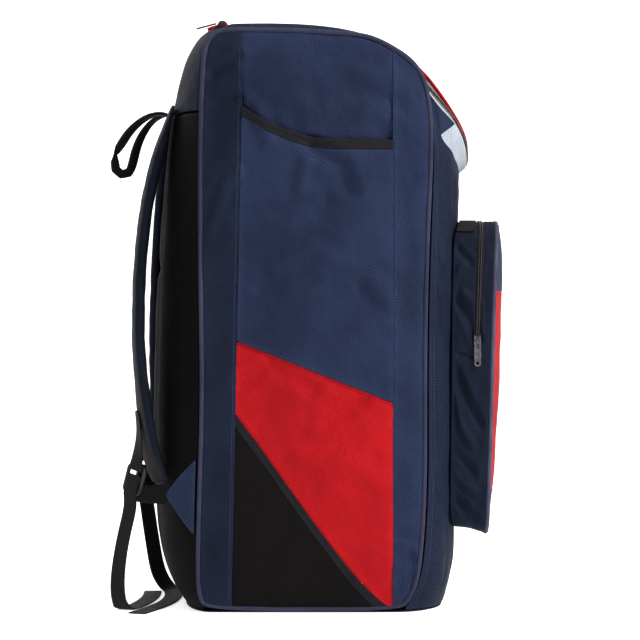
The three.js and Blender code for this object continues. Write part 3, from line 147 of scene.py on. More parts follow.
# %% Node trees in short words
class Finish:
    """A material with one Principled shader, built up socket by socket."""

    def __init__(self, name, roughness, metallic=0.0, gloss=0.5):
        self.material = bpy.data.materials.new(name)
        self.material.use_nodes = True
        self.tree = self.material.node_tree
        self.shader = self.tree.nodes["Principled BSDF"]
        self.shader.inputs["Roughness"].default_value = roughness
        self.shader.inputs["Metallic"].default_value = metallic
        self.shader.inputs["Specular IOR Level"].default_value = gloss
        place = self.tree.nodes.new("ShaderNodeTexCoord").outputs["Object"]
        self.place = place
        parts = self.tree.nodes.new("ShaderNodeSeparateXYZ")
        self.tree.links.new(place, parts.inputs[0])
        self.x, self.y, self.z = parts.outputs

    def join(self, value, socket):
        if isinstance(value, bpy.types.NodeSocket):
            self.tree.links.new(value, socket)
        else:
            socket.default_value = value

    def math(self, operation, *values):
        node = self.tree.nodes.new("ShaderNodeMath")
        node.operation = operation
        for value, socket in zip(values, node.inputs):
            self.join(value, socket)
        return node.outputs[0]

    def wave(self, along, pitch):
        """A sine wave from -1 to 1 along a coordinate, one turn for each pitch."""
        return self.math("SINE", self.math("MULTIPLY", along, 2 * math.pi / pitch))

    def cloud(self, size, detail=2.0):
        """Soft random patches about that size, from 0 to 1."""
        node = self.tree.nodes.new("ShaderNodeTexNoise")
        self.tree.links.new(self.place, node.inputs["Vector"])
        node.inputs["Scale"].default_value = 1 / size
        node.inputs["Detail"].default_value = detail
        return node.outputs["Fac"]

    def attribute(self, name):
        node = self.tree.nodes.new("ShaderNodeAttribute")
        node.attribute_name = name
        return node.outputs["Fac"]

    def above(self, height, slope):
        """1 above a line that climbs towards the middle, 0 below it, with a sharp soft edge."""
        sideways = self.math("MULTIPLY", self.math("ABSOLUTE", self.x), slope)
        blur = 0.0004  # half width of the line's soft edge, in metres
        over = self.math("SUBTRACT", self.math("ADD", self.z, sideways), height)
        return self.ramp(over, -blur, blur)

    def mix(self, share, low, high):
        node = self.tree.nodes.new("ShaderNodeMix")
        node.data_type = "RGBA"
        self.join(share, node.inputs["Factor"])
        self.join(low, node.inputs["A"])
        self.join(high, node.inputs["B"])
        return node.outputs["Result"]

    def ramp(self, value, low, high):
        node = self.tree.nodes.new("ShaderNodeMapRange")
        node.interpolation_type = "SMOOTHSTEP"
        self.join(value, node.inputs["Value"])
        node.inputs["From Min"].default_value = low
        node.inputs["From Max"].default_value = high
        return node.outputs["Result"]

    def colour(self, value):
        self.join(value, self.shader.inputs["Base Color"])

    def relief(self, height, depth, under=None):
        """Raises the surface by height times depth, in metres, on top of an earlier relief."""
        node = self.tree.nodes.new("ShaderNodeBump")
        if under:
            self.tree.links.new(under, node.inputs["Normal"])
        node.inputs["Strength"].default_value = 1.0
        node.inputs["Distance"].default_value = depth
        self.tree.links.new(height, node.inputs["Height"])
        self.tree.links.new(node.outputs["Normal"], self.shader.inputs["Normal"])
        return node.outputs["Normal"]


def linear(red, green, blue):
    """A colour picked in 0 to 255 steps, as the shader wants it."""
    def channel(value):
        share = value / 255
        return share / 12.92 if share <= 0.04045 else ((share + 0.055) / 1.055) ** 2.4
    return (channel(red), channel(green), channel(blue), 1.0)


# %% Woven cloth, mesh and webbing
thread_pitch = 0.0013
diamond_pitch = 0.0036


def woven(name, dark, light, roughness=0.72, diamonds=0.7, threads=0.5, wrinkles=0.0007,
          other=None):
    cloth = Finish(name, roughness, gloss=0.08)
    across = cloth.math("ADD", cloth.x, cloth.y)
    upward = cloth.math("ADD", cloth.z, cloth.math("MULTIPLY", cloth.y, 0.35))
    diamond = cloth.math("MULTIPLY", cloth.wave(across, diamond_pitch),
                         cloth.wave(upward, diamond_pitch))
    net = cloth.math("ADD", cloth.wave(across, thread_pitch), cloth.wave(upward, thread_pitch))
    height = cloth.math("ADD", cloth.math("MULTIPLY", diamond, diamonds),
                        cloth.math("MULTIPLY", net, threads / 2))
    patches = cloth.ramp(cloth.cloud(0.09, 3.0), 0.3, 0.7)
    fleck = cloth.ramp(height, -0.6, 0.9)
    shade = cloth.math("ADD", cloth.math("MULTIPLY", patches, 0.3),
                       cloth.math("MULTIPLY", fleck, 0.7))
    # Near the rim the cloth is painted lighter: a painted highlight along the edges.
    tone_mix = cloth.math("ADD", shade, cloth.math("MULTIPLY", cloth.attribute("rim"), 0.35))
    colour = cloth.mix(tone_mix, dark, light)
    if other:
        colour = cloth.mix(cloth.above(0.765, 1.07), colour, other)
    cloth.colour(colour)
    crumple = cloth.ramp(cloth.cloud(0.022, 3.0), 0.25, 0.75)
    cloth.relief(height, 0.00022, cloth.relief(crumple, wrinkles * 2))
    return cloth.material


def knitted(name, dark, light, pitch):
    """Open mesh: round holes in rows, every second row set half a step over."""
    mesh = Finish(name, 0.8, gloss=0.06)
    across = mesh.math("ADD", mesh.x, mesh.y)
    upward = mesh.math("ADD", mesh.z, mesh.math("MULTIPLY", mesh.y, 0.2))
    dots = mesh.math("MULTIPLY", mesh.wave(across, pitch), mesh.wave(upward, pitch))
    hole = mesh.ramp(dots, 0.15, 0.55)
    mesh.colour(mesh.mix(hole, light, dark))
    mesh.relief(mesh.math("SUBTRACT", 1.0, hole), 0.0005)
    return mesh.material


def ribbed(name, dark, light, pitch=0.0022):
    web = Finish(name, 0.7, gloss=0.1)
    diagonal = web.math("ADD", web.math("ADD", web.x, web.y), web.z)
    other = web.math("SUBTRACT", web.math("ADD", web.x, web.y), web.z)
    ribs = web.math("MULTIPLY", web.wave(diagonal, pitch), web.wave(other, pitch))
    # Near the rim the webbing is painted lighter: a painted highlight along the edges.
    tone_mix = web.math("ADD", web.ramp(ribs, -1.0, 1.4),
                    web.math("MULTIPLY", web.attribute("rim"), 0.3))
    web.colour(web.mix(tone_mix, dark, light))
    web.relief(ribs, 0.0002)
    return web.material


navy = woven("navy_polyester", linear(17, 24, 43), linear(40, 50, 78))
navy_strip = woven("navy_strip", linear(11, 16, 29), linear(29, 37, 58))
navy_plain = woven("navy_plain", linear(7, 11, 21), linear(20, 27, 44), diamonds=0.3)
red = woven("red_polyester", linear(132, 8, 15), linear(178, 18, 25))
grey_tape = woven("light_grey_tape", linear(130, 128, 130), linear(170, 168, 170), diamonds=0.0)
pale_cloth = woven("light_grey_cloth", linear(132, 138, 146), linear(164, 170, 178), diamonds=0.3,
                   other=linear(30, 39, 62))
lilac = woven("lilac_piping", linear(28, 31, 46), linear(66, 67, 90), diamonds=0.0)
pale_piping = woven("pale_piping", linear(36, 38, 54), linear(92, 92, 112), diamonds=0.0)
side_mesh = knitted("side_mesh", linear(1, 1, 1), linear(19, 16, 17), 0.0036)
back_mesh = knitted("back_mesh", linear(1, 1, 2), linear(9, 9, 10), 0.005)
black_binding = ribbed("black_binding", linear(13, 12, 14), linear(33, 31, 35))
black_web = ribbed("black_webbing", linear(8, 8, 9), linear(25, 25, 27))
thread_navy = woven("navy_thread", linear(40, 48, 70), linear(66, 74, 98), diamonds=0.0)
thread_red = woven("red_thread", linear(110, 10, 14), linear(150, 22, 25), diamonds=0.0)
thread_black = woven("black_thread", linear(22, 22, 25), linear(48, 48, 52), diamonds=0.0)


def moulded(name, colour, roughness):
    plastic = Finish(name, roughness)
    grain = plastic.cloud(0.0012, 3.0)
    lighter = tuple(1.5 * c for c in colour[:3]) + (1.0,)
    plastic.colour(plastic.mix(plastic.cloud(0.03), colour, lighter))
    plastic.relief(grain, 0.00005)
    return plastic.material


def plated(name, colour):
    metal = Finish(name, 0.32, metallic=1.0)
    # Random lighter patches of worn plating.
    tone_mix = metal.ramp(metal.cloud(0.006, 4.0), 0.42, 0.62)
    metal.colour(metal.mix(tone_mix, colour, tuple(1.6 * c for c in colour[:3]) + (1.0,)))
    metal.relief(metal.cloud(0.001), 0.00003)
    return metal.material


black_plastic = moulded("black_plastic", linear(22, 22, 24), 0.42)
zip_nylon = moulded("zip_nylon", linear(20, 20, 22), 0.38)
dark_metal = plated("dark_metal", linear(92, 92, 96))
print("finishes:", len(bpy.data.materials))

# %% [markdown]
# ## From facets to cloth
# A CAD panel is a coarse grid. Its triangles are joined back into four-sided faces, its rim
# is creased, and subdivision rounds everything between. Then each point is pushed by the
# folds. A push depends only on the place, so two panels that meet at a seam stay together.

# %% Smooth copies of the CAD panels
def quads_of(node, sharp):
    """A welded copy of a CAD node with its triangle pairs joined and its sharp edges creased."""
    bm = bmesh.new()
    bm.from_mesh(nodes[node].data)
    bmesh.ops.remove_doubles(bm, verts=bm.verts, dist=3e-5)
    bmesh.ops.dissolve_degenerate(bm, edges=bm.edges, dist=1e-5)
    bmesh.ops.join_triangles(
        bm, faces=bm.faces, angle_face_threshold=math.radians(38),
        angle_shape_threshold=math.radians(75))
    crease = bm.edges.layers.float.new("crease_edge")
    for edge in bm.edges:
        if len(edge.link_faces) == 2 and edge.calc_face_angle(0) > math.radians(sharp):
            edge[crease] = 0.75
    for face in bm.faces:
        face.smooth = True
    return bm


def as_object(name, mesh):
    thing = bpy.data.objects.new(name, mesh)
    bpy.context.collection.objects.link(thing)
    return thing


def made_plain(thing):
    """Applies an object's modifiers and gives the same object back with a plain mesh."""
    graph = bpy.context.evaluated_depsgraph_get()
    mesh = bpy.data.meshes.new_from_object(thing.evaluated_get(graph), depsgraph=graph)
    thing.modifiers.clear()
    thing.data = mesh
    return thing


def subdivided(name, bm, levels):
    mesh = bpy.data.meshes.new(name)
    bm.to_mesh(mesh)
    bm.free()
    thing = as_object(name, mesh)
    modifier = thing.modifiers.new("smooth", "SUBSURF")
    modifier.levels = modifier.render_levels = levels
    return made_plain(thing)


def mark_rim(mesh, sharp=38, reach=0.006):
    """Stores how near each point is to the piece's rim, for a painted highlight along the edges."""
    bm = bmesh.new()
    bm.from_mesh(mesh)
    edges = [e for e in bm.edges
             if len(e.link_faces) == 2 and e.calc_face_angle(0) > math.radians(sharp)]
    rim = {v.index: v.co.copy() for e in edges for v in e.verts}
    bm.free()
    layer = mesh.attributes.new("rim", "FLOAT", "POINT")
    if not rim:
        return
    tree = KDTree(len(rim))
    for index, place in rim.items():
        tree.insert(place, index)
    tree.balance()
    values = [math.exp(-tree.find(v.co)[2] / reach) for v in mesh.vertices]
    layer.data.foreach_set("value", values)


cloth_pieces = {}


def dress(node, finish, levels=3, sharp=38, push=None, swell=0.0, body="bag"):
    """Makes the cloth piece that stands for a CAD node."""
    piece = subdivided("cloth_" + node, quads_of(node, sharp), levels)
    if swell:
        normals = [n.vector.copy() for n in piece.data.vertex_normals]
        for vertex, normal in zip(piece.data.vertices, normals):
            vertex.co += normal * swell
    if push:
        for vertex in piece.data.vertices:
            vertex.co += push(vertex.co)
    mark_rim(piece.data)
    piece.data.materials.clear()
    piece.data.materials.append(finish)
    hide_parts(node)
    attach(piece, body)
    cloth_pieces[node] = piece
    return piece


# %% [markdown]
# ## Folds of the side panels
# The side sags a little under its own weight, and each seam pulls at it. The main folds were
# read off the photograph as short lines of pixels. Each has a half width in pixels and a
# depth in millimetres; a negative depth is a ridge.

# %% Folds read off the photograph
side_folds = [
    {"line": [(315, 92), (345, 85), (395, 102)], "half": 11, "depth": 3.2},
    {"line": [(248, 100), (262, 118), (268, 140)], "half": 8, "depth": -1.6},
    {"line": [(312, 147), (340, 165), (350, 190)], "half": 9, "depth": 4.2},
    {"line": [(306, 162), (300, 192)], "half": 7, "depth": -2.2},
    {"line": [(240, 216), (285, 210), (320, 200), (333, 188)], "half": 11, "depth": 3.4},
    {"line": [(275, 266), (310, 250), (365, 272), (390, 302)], "half": 9, "depth": -2.6},
    {"line": [(262, 288), (300, 276), (338, 290)], "half": 8, "depth": 1.6},
    {"line": [(205, 240), (227, 180), (237, 172)], "half": 6, "depth": -2.2},
    {"line": [(212, 72), (237, 57)], "half": 6, "depth": 2.2},
    {"line": [(217, 103), (237, 97)], "half": 5, "depth": 2.0},
    {"line": [(399, 150), (415, 144)], "half": 5, "depth": 1.2},
    {"line": [(397, 300), (418, 296)], "half": 5, "depth": 1.2},
    {"line": [(396, 420), (418, 424)], "half": 6, "depth": 1.3},
    {"line": [(395, 535), (417, 540)], "half": 5, "depth": 1.6},
    {"line": [(394, 562), (418, 560)], "half": 5, "depth": 1.5},
    {"line": [(412, 552), (412, 588)], "half": 4, "depth": 2.2},
    {"line": [(240, 383), (270, 366), (302, 382), (312, 388)], "half": 8, "depth": 2.6},
    {"line": [(330, 421), (362, 400)], "half": 8, "depth": 2.2},
    {"line": [(368, 578), (391, 569)], "half": 6, "depth": 2.0},
    {"line": [(300, 455), (345, 462), (380, 480)], "half": 10, "depth": -1.5},
]
pixel = 1.315
fold_scale = 1.5
rim_share = 0.3   # beside a fold the cloth stands proud, by this share of the fold's depth
rim_at = 1.6      # and this many of the fold's half widths away
for fold in side_folds:
    fold["places"] = [on_side(*point) for point in fold["line"]]


def off_line(y, z, places):
    """Distance in metres from (y, z) to a line of places."""
    best = 1.0
    for (ay, az), (by, bz) in zip(places, places[1:]):
        dy, dz = by - ay, bz - az
        share = ((y - ay) * dy + (z - az) * dz) / (dy * dy + dz * dz)
        share = min(1.0, max(0.0, share))
        best = min(best, math.hypot(y - ay - share * dy, z - az - share * dz))
    return best


def fold_depth(y, z, folds):
    """How far a wall is pressed in at a place, in metres."""
    depth = 0.0
    for fold in folds:
        half = fold["half"] * pixel / 1000
        away = off_line(y, z, fold["places"]) / half
        if away < 3:
            press = math.exp(-away * away) - rim_share * math.exp(-(away - rim_at) ** 2 * 2)
            depth += fold_scale * fold["depth"] / 1000 * press
    return depth


def ripple(place, size, seed):
    """Soft random height from -1 to 1, about that size."""
    return noise.noise(Vector(place) / size + Vector((seed, 2 * seed, -seed)))


piping_half = 0.150


def side_push(place):
    """Pushes a side panel's point along X: folds, then small sags between the seams."""
    out = math.copysign(1.0, place.x)
    away = min(1.0, max(0.0, (abs(place.x) - piping_half + 0.002) / 0.006))
    slant = (0, place.y + 0.5 * place.z, 0.6 * place.z - 0.3 * place.y)
    sag = 0.0034 * ripple(slant, 0.05, 3.1) + 0.0012 * ripple((0, place.y, place.z), 0.02, 7.7)
    return Vector((out * away * (sag - fold_depth(place.y, place.z, side_folds)), 0, 0))


# %% [markdown]
# ## Side panels, slip pockets and their seams
# Two vertical strips frame the middle of each side. The middle holds an upper panel, a slip
# pocket with a black bound mouth, a red panel and a mesh corner behind a slanting binding.

# %% Dress both sides
fine = 3
finest = 4
for side in ("left", "right"):
    dress("side_upper_panel_" + side, navy, finest, push=side_push)
    dress("slip_pocket_" + side, navy, finest, push=side_push)
    dress("red_panel_" + side, red, finest, push=side_push)
    dress("slip_binding_" + side, black_binding, fine, push=side_push)
    dress("mesh_binding_" + side, black_binding, fine, push=side_push)
    dress("mesh_panel_" + side, side_mesh, fine, push=side_push)
    dress("side_back_strip_" + side, navy_strip, fine, push=side_push, swell=0.0006)
    dress("side_front_strip_" + side, navy, fine, push=side_push, swell=0.0006)
    dress("side_piping_" + side, lilac, 2, sharp=85, swell=0.0005)


# %% [markdown]
# ## Front, back, lid and base
# These panels are one long wrap of cloth. Padding inside presses it out, so it only ripples
# softly, with drag lines below the lid where the weight of the pocket hangs.

# %% Dress the wrap-around wall
def ease(value, low, high):
    """0 below low, 1 above high and a soft step between."""
    share = min(1.0, max(0.0, (value - low) / (high - low)))
    return share * share * (3 - 2 * share)


def top_settle(place):
    """On top, the zip sinks a little between the lid and the arm of cloth beside it."""
    window = ease(place.y, -0.10, -0.05) * (1 - ease(place.y, 0.115, 0.135)) * (place.z > 0.7)
    zip_sink = 0.0034 * math.exp(-((abs(place.x) - 0.112) / 0.013) ** 2)
    arm_rise = 0.0045 * math.exp(-((abs(place.x) - 0.137) / 0.008) ** 2)
    return Vector((0, 0, window * (arm_rise - zip_sink)))


def lip_slope(place):
    """Beside the lid's tip the cloth slopes back to the side, so the zip faces outwards there."""
    window = ease(-place.y, 0.115, 0.15) * ease(place.z, 0.595, 0.635) * (place.z < 0.76)
    slope = ease(abs(place.x), 0.106, 0.127) * (1 - ease(abs(place.x), 0.130, 0.147))
    return Vector((0, 0.0075, -0.0035)) * window * slope


def zip_push(place):
    return top_settle(place) + lip_slope(place)


def wrap_push(place):
    """Pushes a point of the wrap-around wall outwards in the plane of the section."""
    fade = min(1.0, max(0.0, (0.145 - abs(place.x)) / 0.03))
    out = Vector((0, place.y, max(0.0, place.z - 0.62) * 1.6)).normalized()
    height = 0.0012 * ripple(place, 0.07, 1.3) + 0.0006 * ripple(place, 0.024, 4.9)
    drag = math.exp(-((place.z - 0.565) / 0.035) ** 2) * (place.y < 0)
    height += 0.0022 * drag * ripple((place.x * 2.2, 0, place.z), 0.05, 9.2)
    slant = (place.x * 1.6, 0, place.z * 1.2 + place.x)
    crumple = ease(-place.y, 0.12, 0.14) * ripple(slant, 0.028, 2.2)
    return out * (fade * height + 0.0016 * crumple * fade) + zip_push(place)


def back_push(place):
    """Quilts the padded back: sewn channels between soft cushions, then ripples."""
    lines = min(abs(abs(place.x) - 0.052), abs(place.z - 0.46) if abs(place.x) < 0.052 else 1.0)
    low = min(1.0, max(0.0, (place.z - 0.03) / 0.06)) * min(1.0, max(0.0, (0.655 - place.z) / 0.03))
    channel = math.exp(-(lines / 0.006) ** 2) * low
    return wrap_push(place) - Vector((0, 0.004 * channel * (place.y > 0), 0))


dress("lid", navy, fine, push=wrap_push, swell=0.0003)
dress("front_panel", navy_strip, finest, push=wrap_push, swell=0.0004)
dress("back_yoke", navy_plain, fine, push=wrap_push, swell=0.0006)
dress("front_crescent", pale_cloth, fine, push=zip_push)
dress("main_zip_tape", grey_tape, fine, push=zip_push)
dress("lid_piping", red, 3, sharp=85, swell=-0.0004, push=zip_push)
dress("base_panel", navy_plain, 2, sharp=30)
back = dress("back_pad", back_mesh, fine, push=back_push)

# %% [markdown]
# ## Front pocket
# A box pocket: a gusset with a zip round its top and sides, and a face of three cloths with
# light piping between. Its empty gusset creases on the slant.

# %% Dress the pocket
pocket_x = 0.118
gusset_folds = [
    {"line": [(457, 247), (470, 262)], "half": 4, "depth": 2.4},
    {"line": [(459, 268), (478, 258)], "half": 4, "depth": -2.6},
    {"line": [(457, 300), (468, 316), (478, 340)], "half": 5, "depth": 3.2},
    {"line": [(464, 292), (480, 306)], "half": 4, "depth": -2.4},
    {"line": [(453, 353), (478, 358)], "half": 2, "depth": 1.6},
    {"line": [(456, 372), (466, 398), (480, 424)], "half": 5, "depth": 3.4},
    {"line": [(453, 396), (462, 426), (474, 446)], "half": 4, "depth": -3.0},
    {"line": [(448, 450), (462, 458), (474, 474)], "half": 4, "depth": 2.8},
    {"line": [(447, 470), (476, 492)], "half": 4, "depth": -2.6},
    {"line": [(446, 494), (462, 506), (476, 524)], "half": 5, "depth": 3.0},
]
for fold in gusset_folds:
    fold["places"] = [on_side(*point, pocket_x) for point in fold["line"]]


def gusset_push(place):
    """Slanting creases in the pocket's side walls, which fade towards piping and bag."""
    wall = math.exp(-((abs(place.x) - pocket_x) / 0.006) ** 2)
    middle = ease(-place.y, 0.178, 0.186) * (1 - ease(-place.y, 0.222, 0.232))
    crease = 0.0016 * ripple((0, place.y * 1.4 + place.z * 0.8, place.z * 0.9), 0.03, 5.5)
    inwards = fold_depth(place.y, place.z, gusset_folds) - crease
    return Vector((-math.copysign(1.0, place.x) * wall * middle * inwards, 0, 0))


def face_push(place):
    """Soft dents in the pocket's face, deeper towards its foot."""
    fade = min(1.0, max(0.0, (0.112 - abs(place.x)) / 0.03))
    dent = 0.0016 * ripple(place, 0.06, 2.4) + 0.0007 * ripple(place, 0.022, 8.1)
    return Vector((0, -fade * dent, 0))


for node in ("pocket_gusset_back", "pocket_gusset_front"):
    dress(node, navy_plain, finest, push=gusset_push, swell=0.0006)
dress("pocket_face_top", navy, fine, push=face_push, swell=0.0006)
dress("pocket_face_red", red, fine, push=face_push, swell=0.0005)
dress("pocket_face_foot", navy, fine, push=face_push, swell=0.0006)
dress("pocket_piping", pale_piping, 2, sharp=85, swell=0.0003)
dress("pocket_binding", black_binding, fine)
dress("pocket_zip", black_binding, 2)

# %% [markdown]
# ## Straps, webbing and loops
# The shoulder straps are foam between cloth, with black binding along both edges. Webbing is flat
# and firm, so only its path is smoothed and its long edges stay crisp.

# %% Dress the straps
def strap_push(place):
    """Small puckers along the strap where the binding gathers it."""
    return Vector((0, 0.0008 * ripple((place.x, place.y, place.z), 0.018, 6.3), 0))


for side in ("left", "right"):
    node = "shoulder_strap_" + side
    strap = dress(node, navy_plain, 3, sharp=75, push=strap_push)
    strap.data.materials.append(black_binding)
    for face in strap.data.polygons:
        if 0.34 < abs(face.normal.x) < 0.66:
            face.material_index = 1
    dress("adjuster_webbing_" + side, black_web, 2)
    dress("strap_end_webbing_" + side, black_web, 2)
    dress("anchor_patch_" + side, navy, fine)
    dress("main_zip_loop_" + side, black_web, 2, sharp=85)
dress("haul_loop", black_web, 2)

# %% [markdown]
# ## Hard parts
# The ladder locks, sliders and pull keep their CAD shapes. Moulded and cast edges are never
# knife sharp, so a weld and a small bevel round them.

# %% Round the hard parts
def rounded(node, finish, width):
    thing = nodes[node]
    weld = thing.modifiers.new("weld", "WELD")
    weld.merge_threshold = 3e-5
    bevel = thing.modifiers.new("round", "BEVEL")
    bevel.width = width
    bevel.segments = 2
    bevel.limit_method = "ANGLE"
    bevel.angle_limit = math.radians(35)
    bevel.harden_normals = False
    thing.data.materials.clear()
    thing.data.materials.append(finish)


for side in ("left", "right"):
    rounded("ladder_lock_" + side, black_plastic, 0.0007)
    rounded("main_zip_slider_" + side, black_plastic, 0.0008)
rounded("pocket_zip_slider", dark_metal, 0.0005)
rounded("pocket_zip_pull", dark_metal, 0.0006)


# %% [markdown]
# ## Paths for zips and stitches
# A swept CAD piece is a row of rings. Points joined by short edges are one ring, and a walk
# from ring to ring gives back the path that the piece follows.

# %% Paths read from the swept pieces
def rings_of(node, reach):
    bm = bmesh.new()
    bm.from_mesh(nodes[node].data)
    bmesh.ops.remove_doubles(bm, verts=bm.verts, dist=3e-5)
    bm.verts.ensure_lookup_table()
    seen, rings = set(), []
    for start in bm.verts:
        if start.index in seen:
            continue
        stack, ring = [start], []
        seen.add(start.index)
        while stack:
            vertex = stack.pop()
            ring.append(vertex.co.copy())
            for edge in vertex.link_edges:
                other = edge.other_vert(vertex)
                if edge.calc_length() < reach and other.index not in seen:
                    seen.add(other.index)
                    stack.append(other)
        rings.append(ring)
    bm.free()
    return rings


def walk(rings, start):
    """Ring middles in order, always on to the nearest one that is left."""
    left = [sum(ring, Vector()) / len(ring) for ring in rings]
    path, here = [], Vector(start)
    while left:
        here = min(left, key=lambda place: (place - here).length)
        left.remove(here)
        path.append(here)
    return path


def spline(points, step, closed=False):
    """Even steps along the smooth curve that subdivision makes of a row of points."""
    count = len(points)
    def at(i):
        return points[i % count] if closed else points[min(max(i, 0), count - 1)]
    dense = []
    for i in range(-1 if not closed else 0, count):
        for part in range(8):
            t = part / 8
            a, b, c, d = at(i - 1), at(i), at(i + 1), at(i + 2)
            dense.append((a * (1 - t) ** 3 + b * (3 * t ** 3 - 6 * t ** 2 + 4)
                          + c * (-3 * t ** 3 + 3 * t ** 2 + 3 * t + 1) + d * t ** 3) / 6)
    even, spare = [dense[0]], 0.0
    for a, b in zip(dense, dense[1:]):
        length = (b - a).length
        while length and spare + length >= step:
            share = (step - spare) / length
            a = a.lerp(b, share)
            even.append(a)
            length = (b - a).length
            spare = 0.0
        spare += length
    return even


zip_path = spline(walk(rings_of("main_zip_coil", 0.007), (-0.119, 0.13, 0.77)), 0.003)
lid_path = spline(walk(rings_of("lid_piping", 0.0036), (-0.107, 0.13, 0.77)), 0.003)
print("main zip:", round(0.003 * len(zip_path), 3), "m")

# %% [markdown]
# ## Stitches and zip teeth with Geometry Nodes
# One small tree does both. It spaces points evenly along a curve, puts a short rod at each,
# turned along the curve, and makes the rods real. Long thin rods with gaps are stitches.
# Short thick ones side by side are the turns of a nylon zip.

# %% A tree that sets rods along a path
def rod_tree():
    tree = bpy.data.node_groups.new("rods_along_path", "GeometryNodeTree")
    face = tree.interface
    face.new_socket("Geometry", in_out="INPUT", socket_type="NodeSocketGeometry")
    for name, value in (("Spacing", 0.004), ("Length", 0.003), ("Radius", 0.0004)):
        face.new_socket(name, in_out="INPUT", socket_type="NodeSocketFloat").default_value = value
    face.new_socket("Finish", in_out="INPUT", socket_type="NodeSocketMaterial")
    face.new_socket("Geometry", in_out="OUTPUT", socket_type="NodeSocketGeometry")
    def new(kind):
        return tree.nodes.new(kind)
    given, result = new("NodeGroupInput"), new("NodeGroupOutput")
    points, rod = new("GeometryNodeCurveToPoints"), new("GeometryNodeMeshCylinder")
    turn, place = new("FunctionNodeAlignRotationToVector"), new("GeometryNodeInstanceOnPoints")
    real, paint = new("GeometryNodeRealizeInstances"), new("GeometryNodeSetMaterial")
    smooth = new("GeometryNodeSetShadeSmooth")
    points.mode = "LENGTH"
    turn.axis = "Z"
    rod.inputs["Vertices"].default_value = 6
    link = tree.links.new
    link(given.outputs["Geometry"], points.inputs["Curve"])
    link(given.outputs["Spacing"], points.inputs["Length"])
    link(given.outputs["Length"], rod.inputs["Depth"])
    link(given.outputs["Radius"], rod.inputs["Radius"])
    link(points.outputs["Tangent"], turn.inputs["Vector"])
    link(points.outputs["Points"], place.inputs["Points"])
    link(rod.outputs["Mesh"], place.inputs["Instance"])
    link(turn.outputs["Rotation"], place.inputs["Rotation"])
    link(place.outputs["Instances"], real.inputs[0])
    link(real.outputs[0], smooth.inputs["Geometry"])
    link(smooth.outputs[0], paint.inputs["Geometry"])
    link(given.outputs["Finish"], paint.inputs["Material"])
    link(paint.outputs[0], result.inputs[0])
    return tree


rods = rod_tree()


def rods_along(name, paths, spacing, length, radius, finish, slot):
    """One piece with rods along every path."""
    curve = bpy.data.curves.new(name, "CURVE")
    curve.dimensions = "3D"
    for path in paths:
        line = curve.splines.new("POLY")
        line.points.add(len(path) - 1)
        for point, place in zip(line.points, path):
            point.co = (*place, 1)
    thing = as_object(name, curve)
    modifier = thing.modifiers.new("rods", "NODES")
    modifier.node_group = rods
    sockets = {item.name: item.identifier for item in rods.interface.items_tree
               if item.in_out == "INPUT"}
    settings = (("Spacing", spacing), ("Length", length), ("Radius", radius), ("Finish", finish))
    for word, value in settings:
        modifier[sockets[word]] = value
    graph = bpy.context.evaluated_depsgraph_get()
    mesh = bpy.data.meshes.new_from_object(thing.evaluated_get(graph), depsgraph=graph)
    bpy.data.objects.remove(thing)
    piece = as_object(name, mesh)
    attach(piece, "bag")
    return piece


# %% [markdown]
# ## The zips
# A nylon zip is two chains of turns pressed together. Each chain runs a little to one side of
# the CAD coil's middle line.

# %% Zip chains
def beside(path, partner, shifts):
    """The path moved sideways in the cloth's plane, towards its partner path or from it."""
    moved = []
    for i, place in enumerate(path):
        nearest = min(partner, key=lambda other: (other - place).length_squared)
        along = (path[min(i + 1, len(path) - 1)] - path[max(i - 1, 0)]).normalized()
        side = nearest - place
        side = (side - along * side.dot(along)).normalized()
        moved.append(place + side * shifts[i])
    return moved


zip_turn = 0.0017
zip_path = [place + zip_push(place) for place in zip_path]
chains = []
for away in (-0.0015, 0.0015):
    shifts = [away - 0.0028 * ease(-place.y, 0.06, 0.12) for place in zip_path]
    chains.append(beside(zip_path, lid_path, shifts))
coil = rods_along("main_zip_turns", chains, zip_turn, 0.0012, 0.0013, zip_nylon, "black_zip")
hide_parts("main_zip_coil")

# %% [markdown]
# The pocket's zip runs up one side, over the top and down the other, in the gusset between the
# piping and the bag. Its path is read from the zip's tape, seen along the front-back axis.

# %% Chains of the pocket zip
def tape_middle(node):
    """The middle of a U-shaped tape: its outer points, in order round the U."""
    bm = bmesh.new()
    bm.from_mesh(nodes[node].data)
    bmesh.ops.remove_doubles(bm, verts=bm.verts, dist=3e-5)
    pairs = []
    for edge in bm.edges:
        a, b = (vertex.co for vertex in edge.verts)
        if abs(a.y - b.y) > 0.007 and abs(a.x - b.x) < 0.002 and abs(a.z - b.z) < 0.002:
            pairs.append((a + b) / 2)
    bm.free()
    hub = Vector((0, 0, 0.36))
    def turn(place):
        return math.atan2(place.x, place.z - hub.z)
    outer = {}
    for place in pairs:
        key = round(turn(place), 2)
        reach = math.hypot(place.x, place.z - hub.z)
        if key not in outer or reach > outer[key][0]:
            outer[key] = (reach, place)
    return [outer[key][1] for key in sorted(outer)]


pocket_path = spline(tape_middle("pocket_zip"), 0.003)
pocket_chains = []
for away in (-0.0014, 0.0014):
    pocket_chains.append([place + Vector((0, away, 0)) + 0.0006 * Vector((place.x, 0, place.z - 0.36)).normalized()
                          for place in pocket_path])
teeth = rods_along("pocket_zip_turns", pocket_chains, zip_turn, 0.0012, 0.0011, zip_nylon,
                   "black_zip")
print("pocket zip:", round(0.003 * len(pocket_path), 3), "m", len(teeth.data.polygons), "faces")

print("main zip turns:", len(coil.data.polygons), "faces")


# %% [markdown]
# ## Stitches
# A line of stitches lies on the cloth, so each point of a path is dropped onto the dressed
# pieces by a ray. Sewing thread is about 0.8 mm thick here and a stitch 3.5 mm long.

# %% Drop paths onto the cloth
def tree_of(pieces):
    """One search tree over several pieces."""
    places, faces = [], []
    for piece in pieces:
        start = len(places)
        places.extend(vertex.co.copy() for vertex in piece.data.vertices)
        faces.extend([start + i for i in face.vertices] for face in piece.data.polygons)
    return BVHTree.FromPolygons(places, faces)


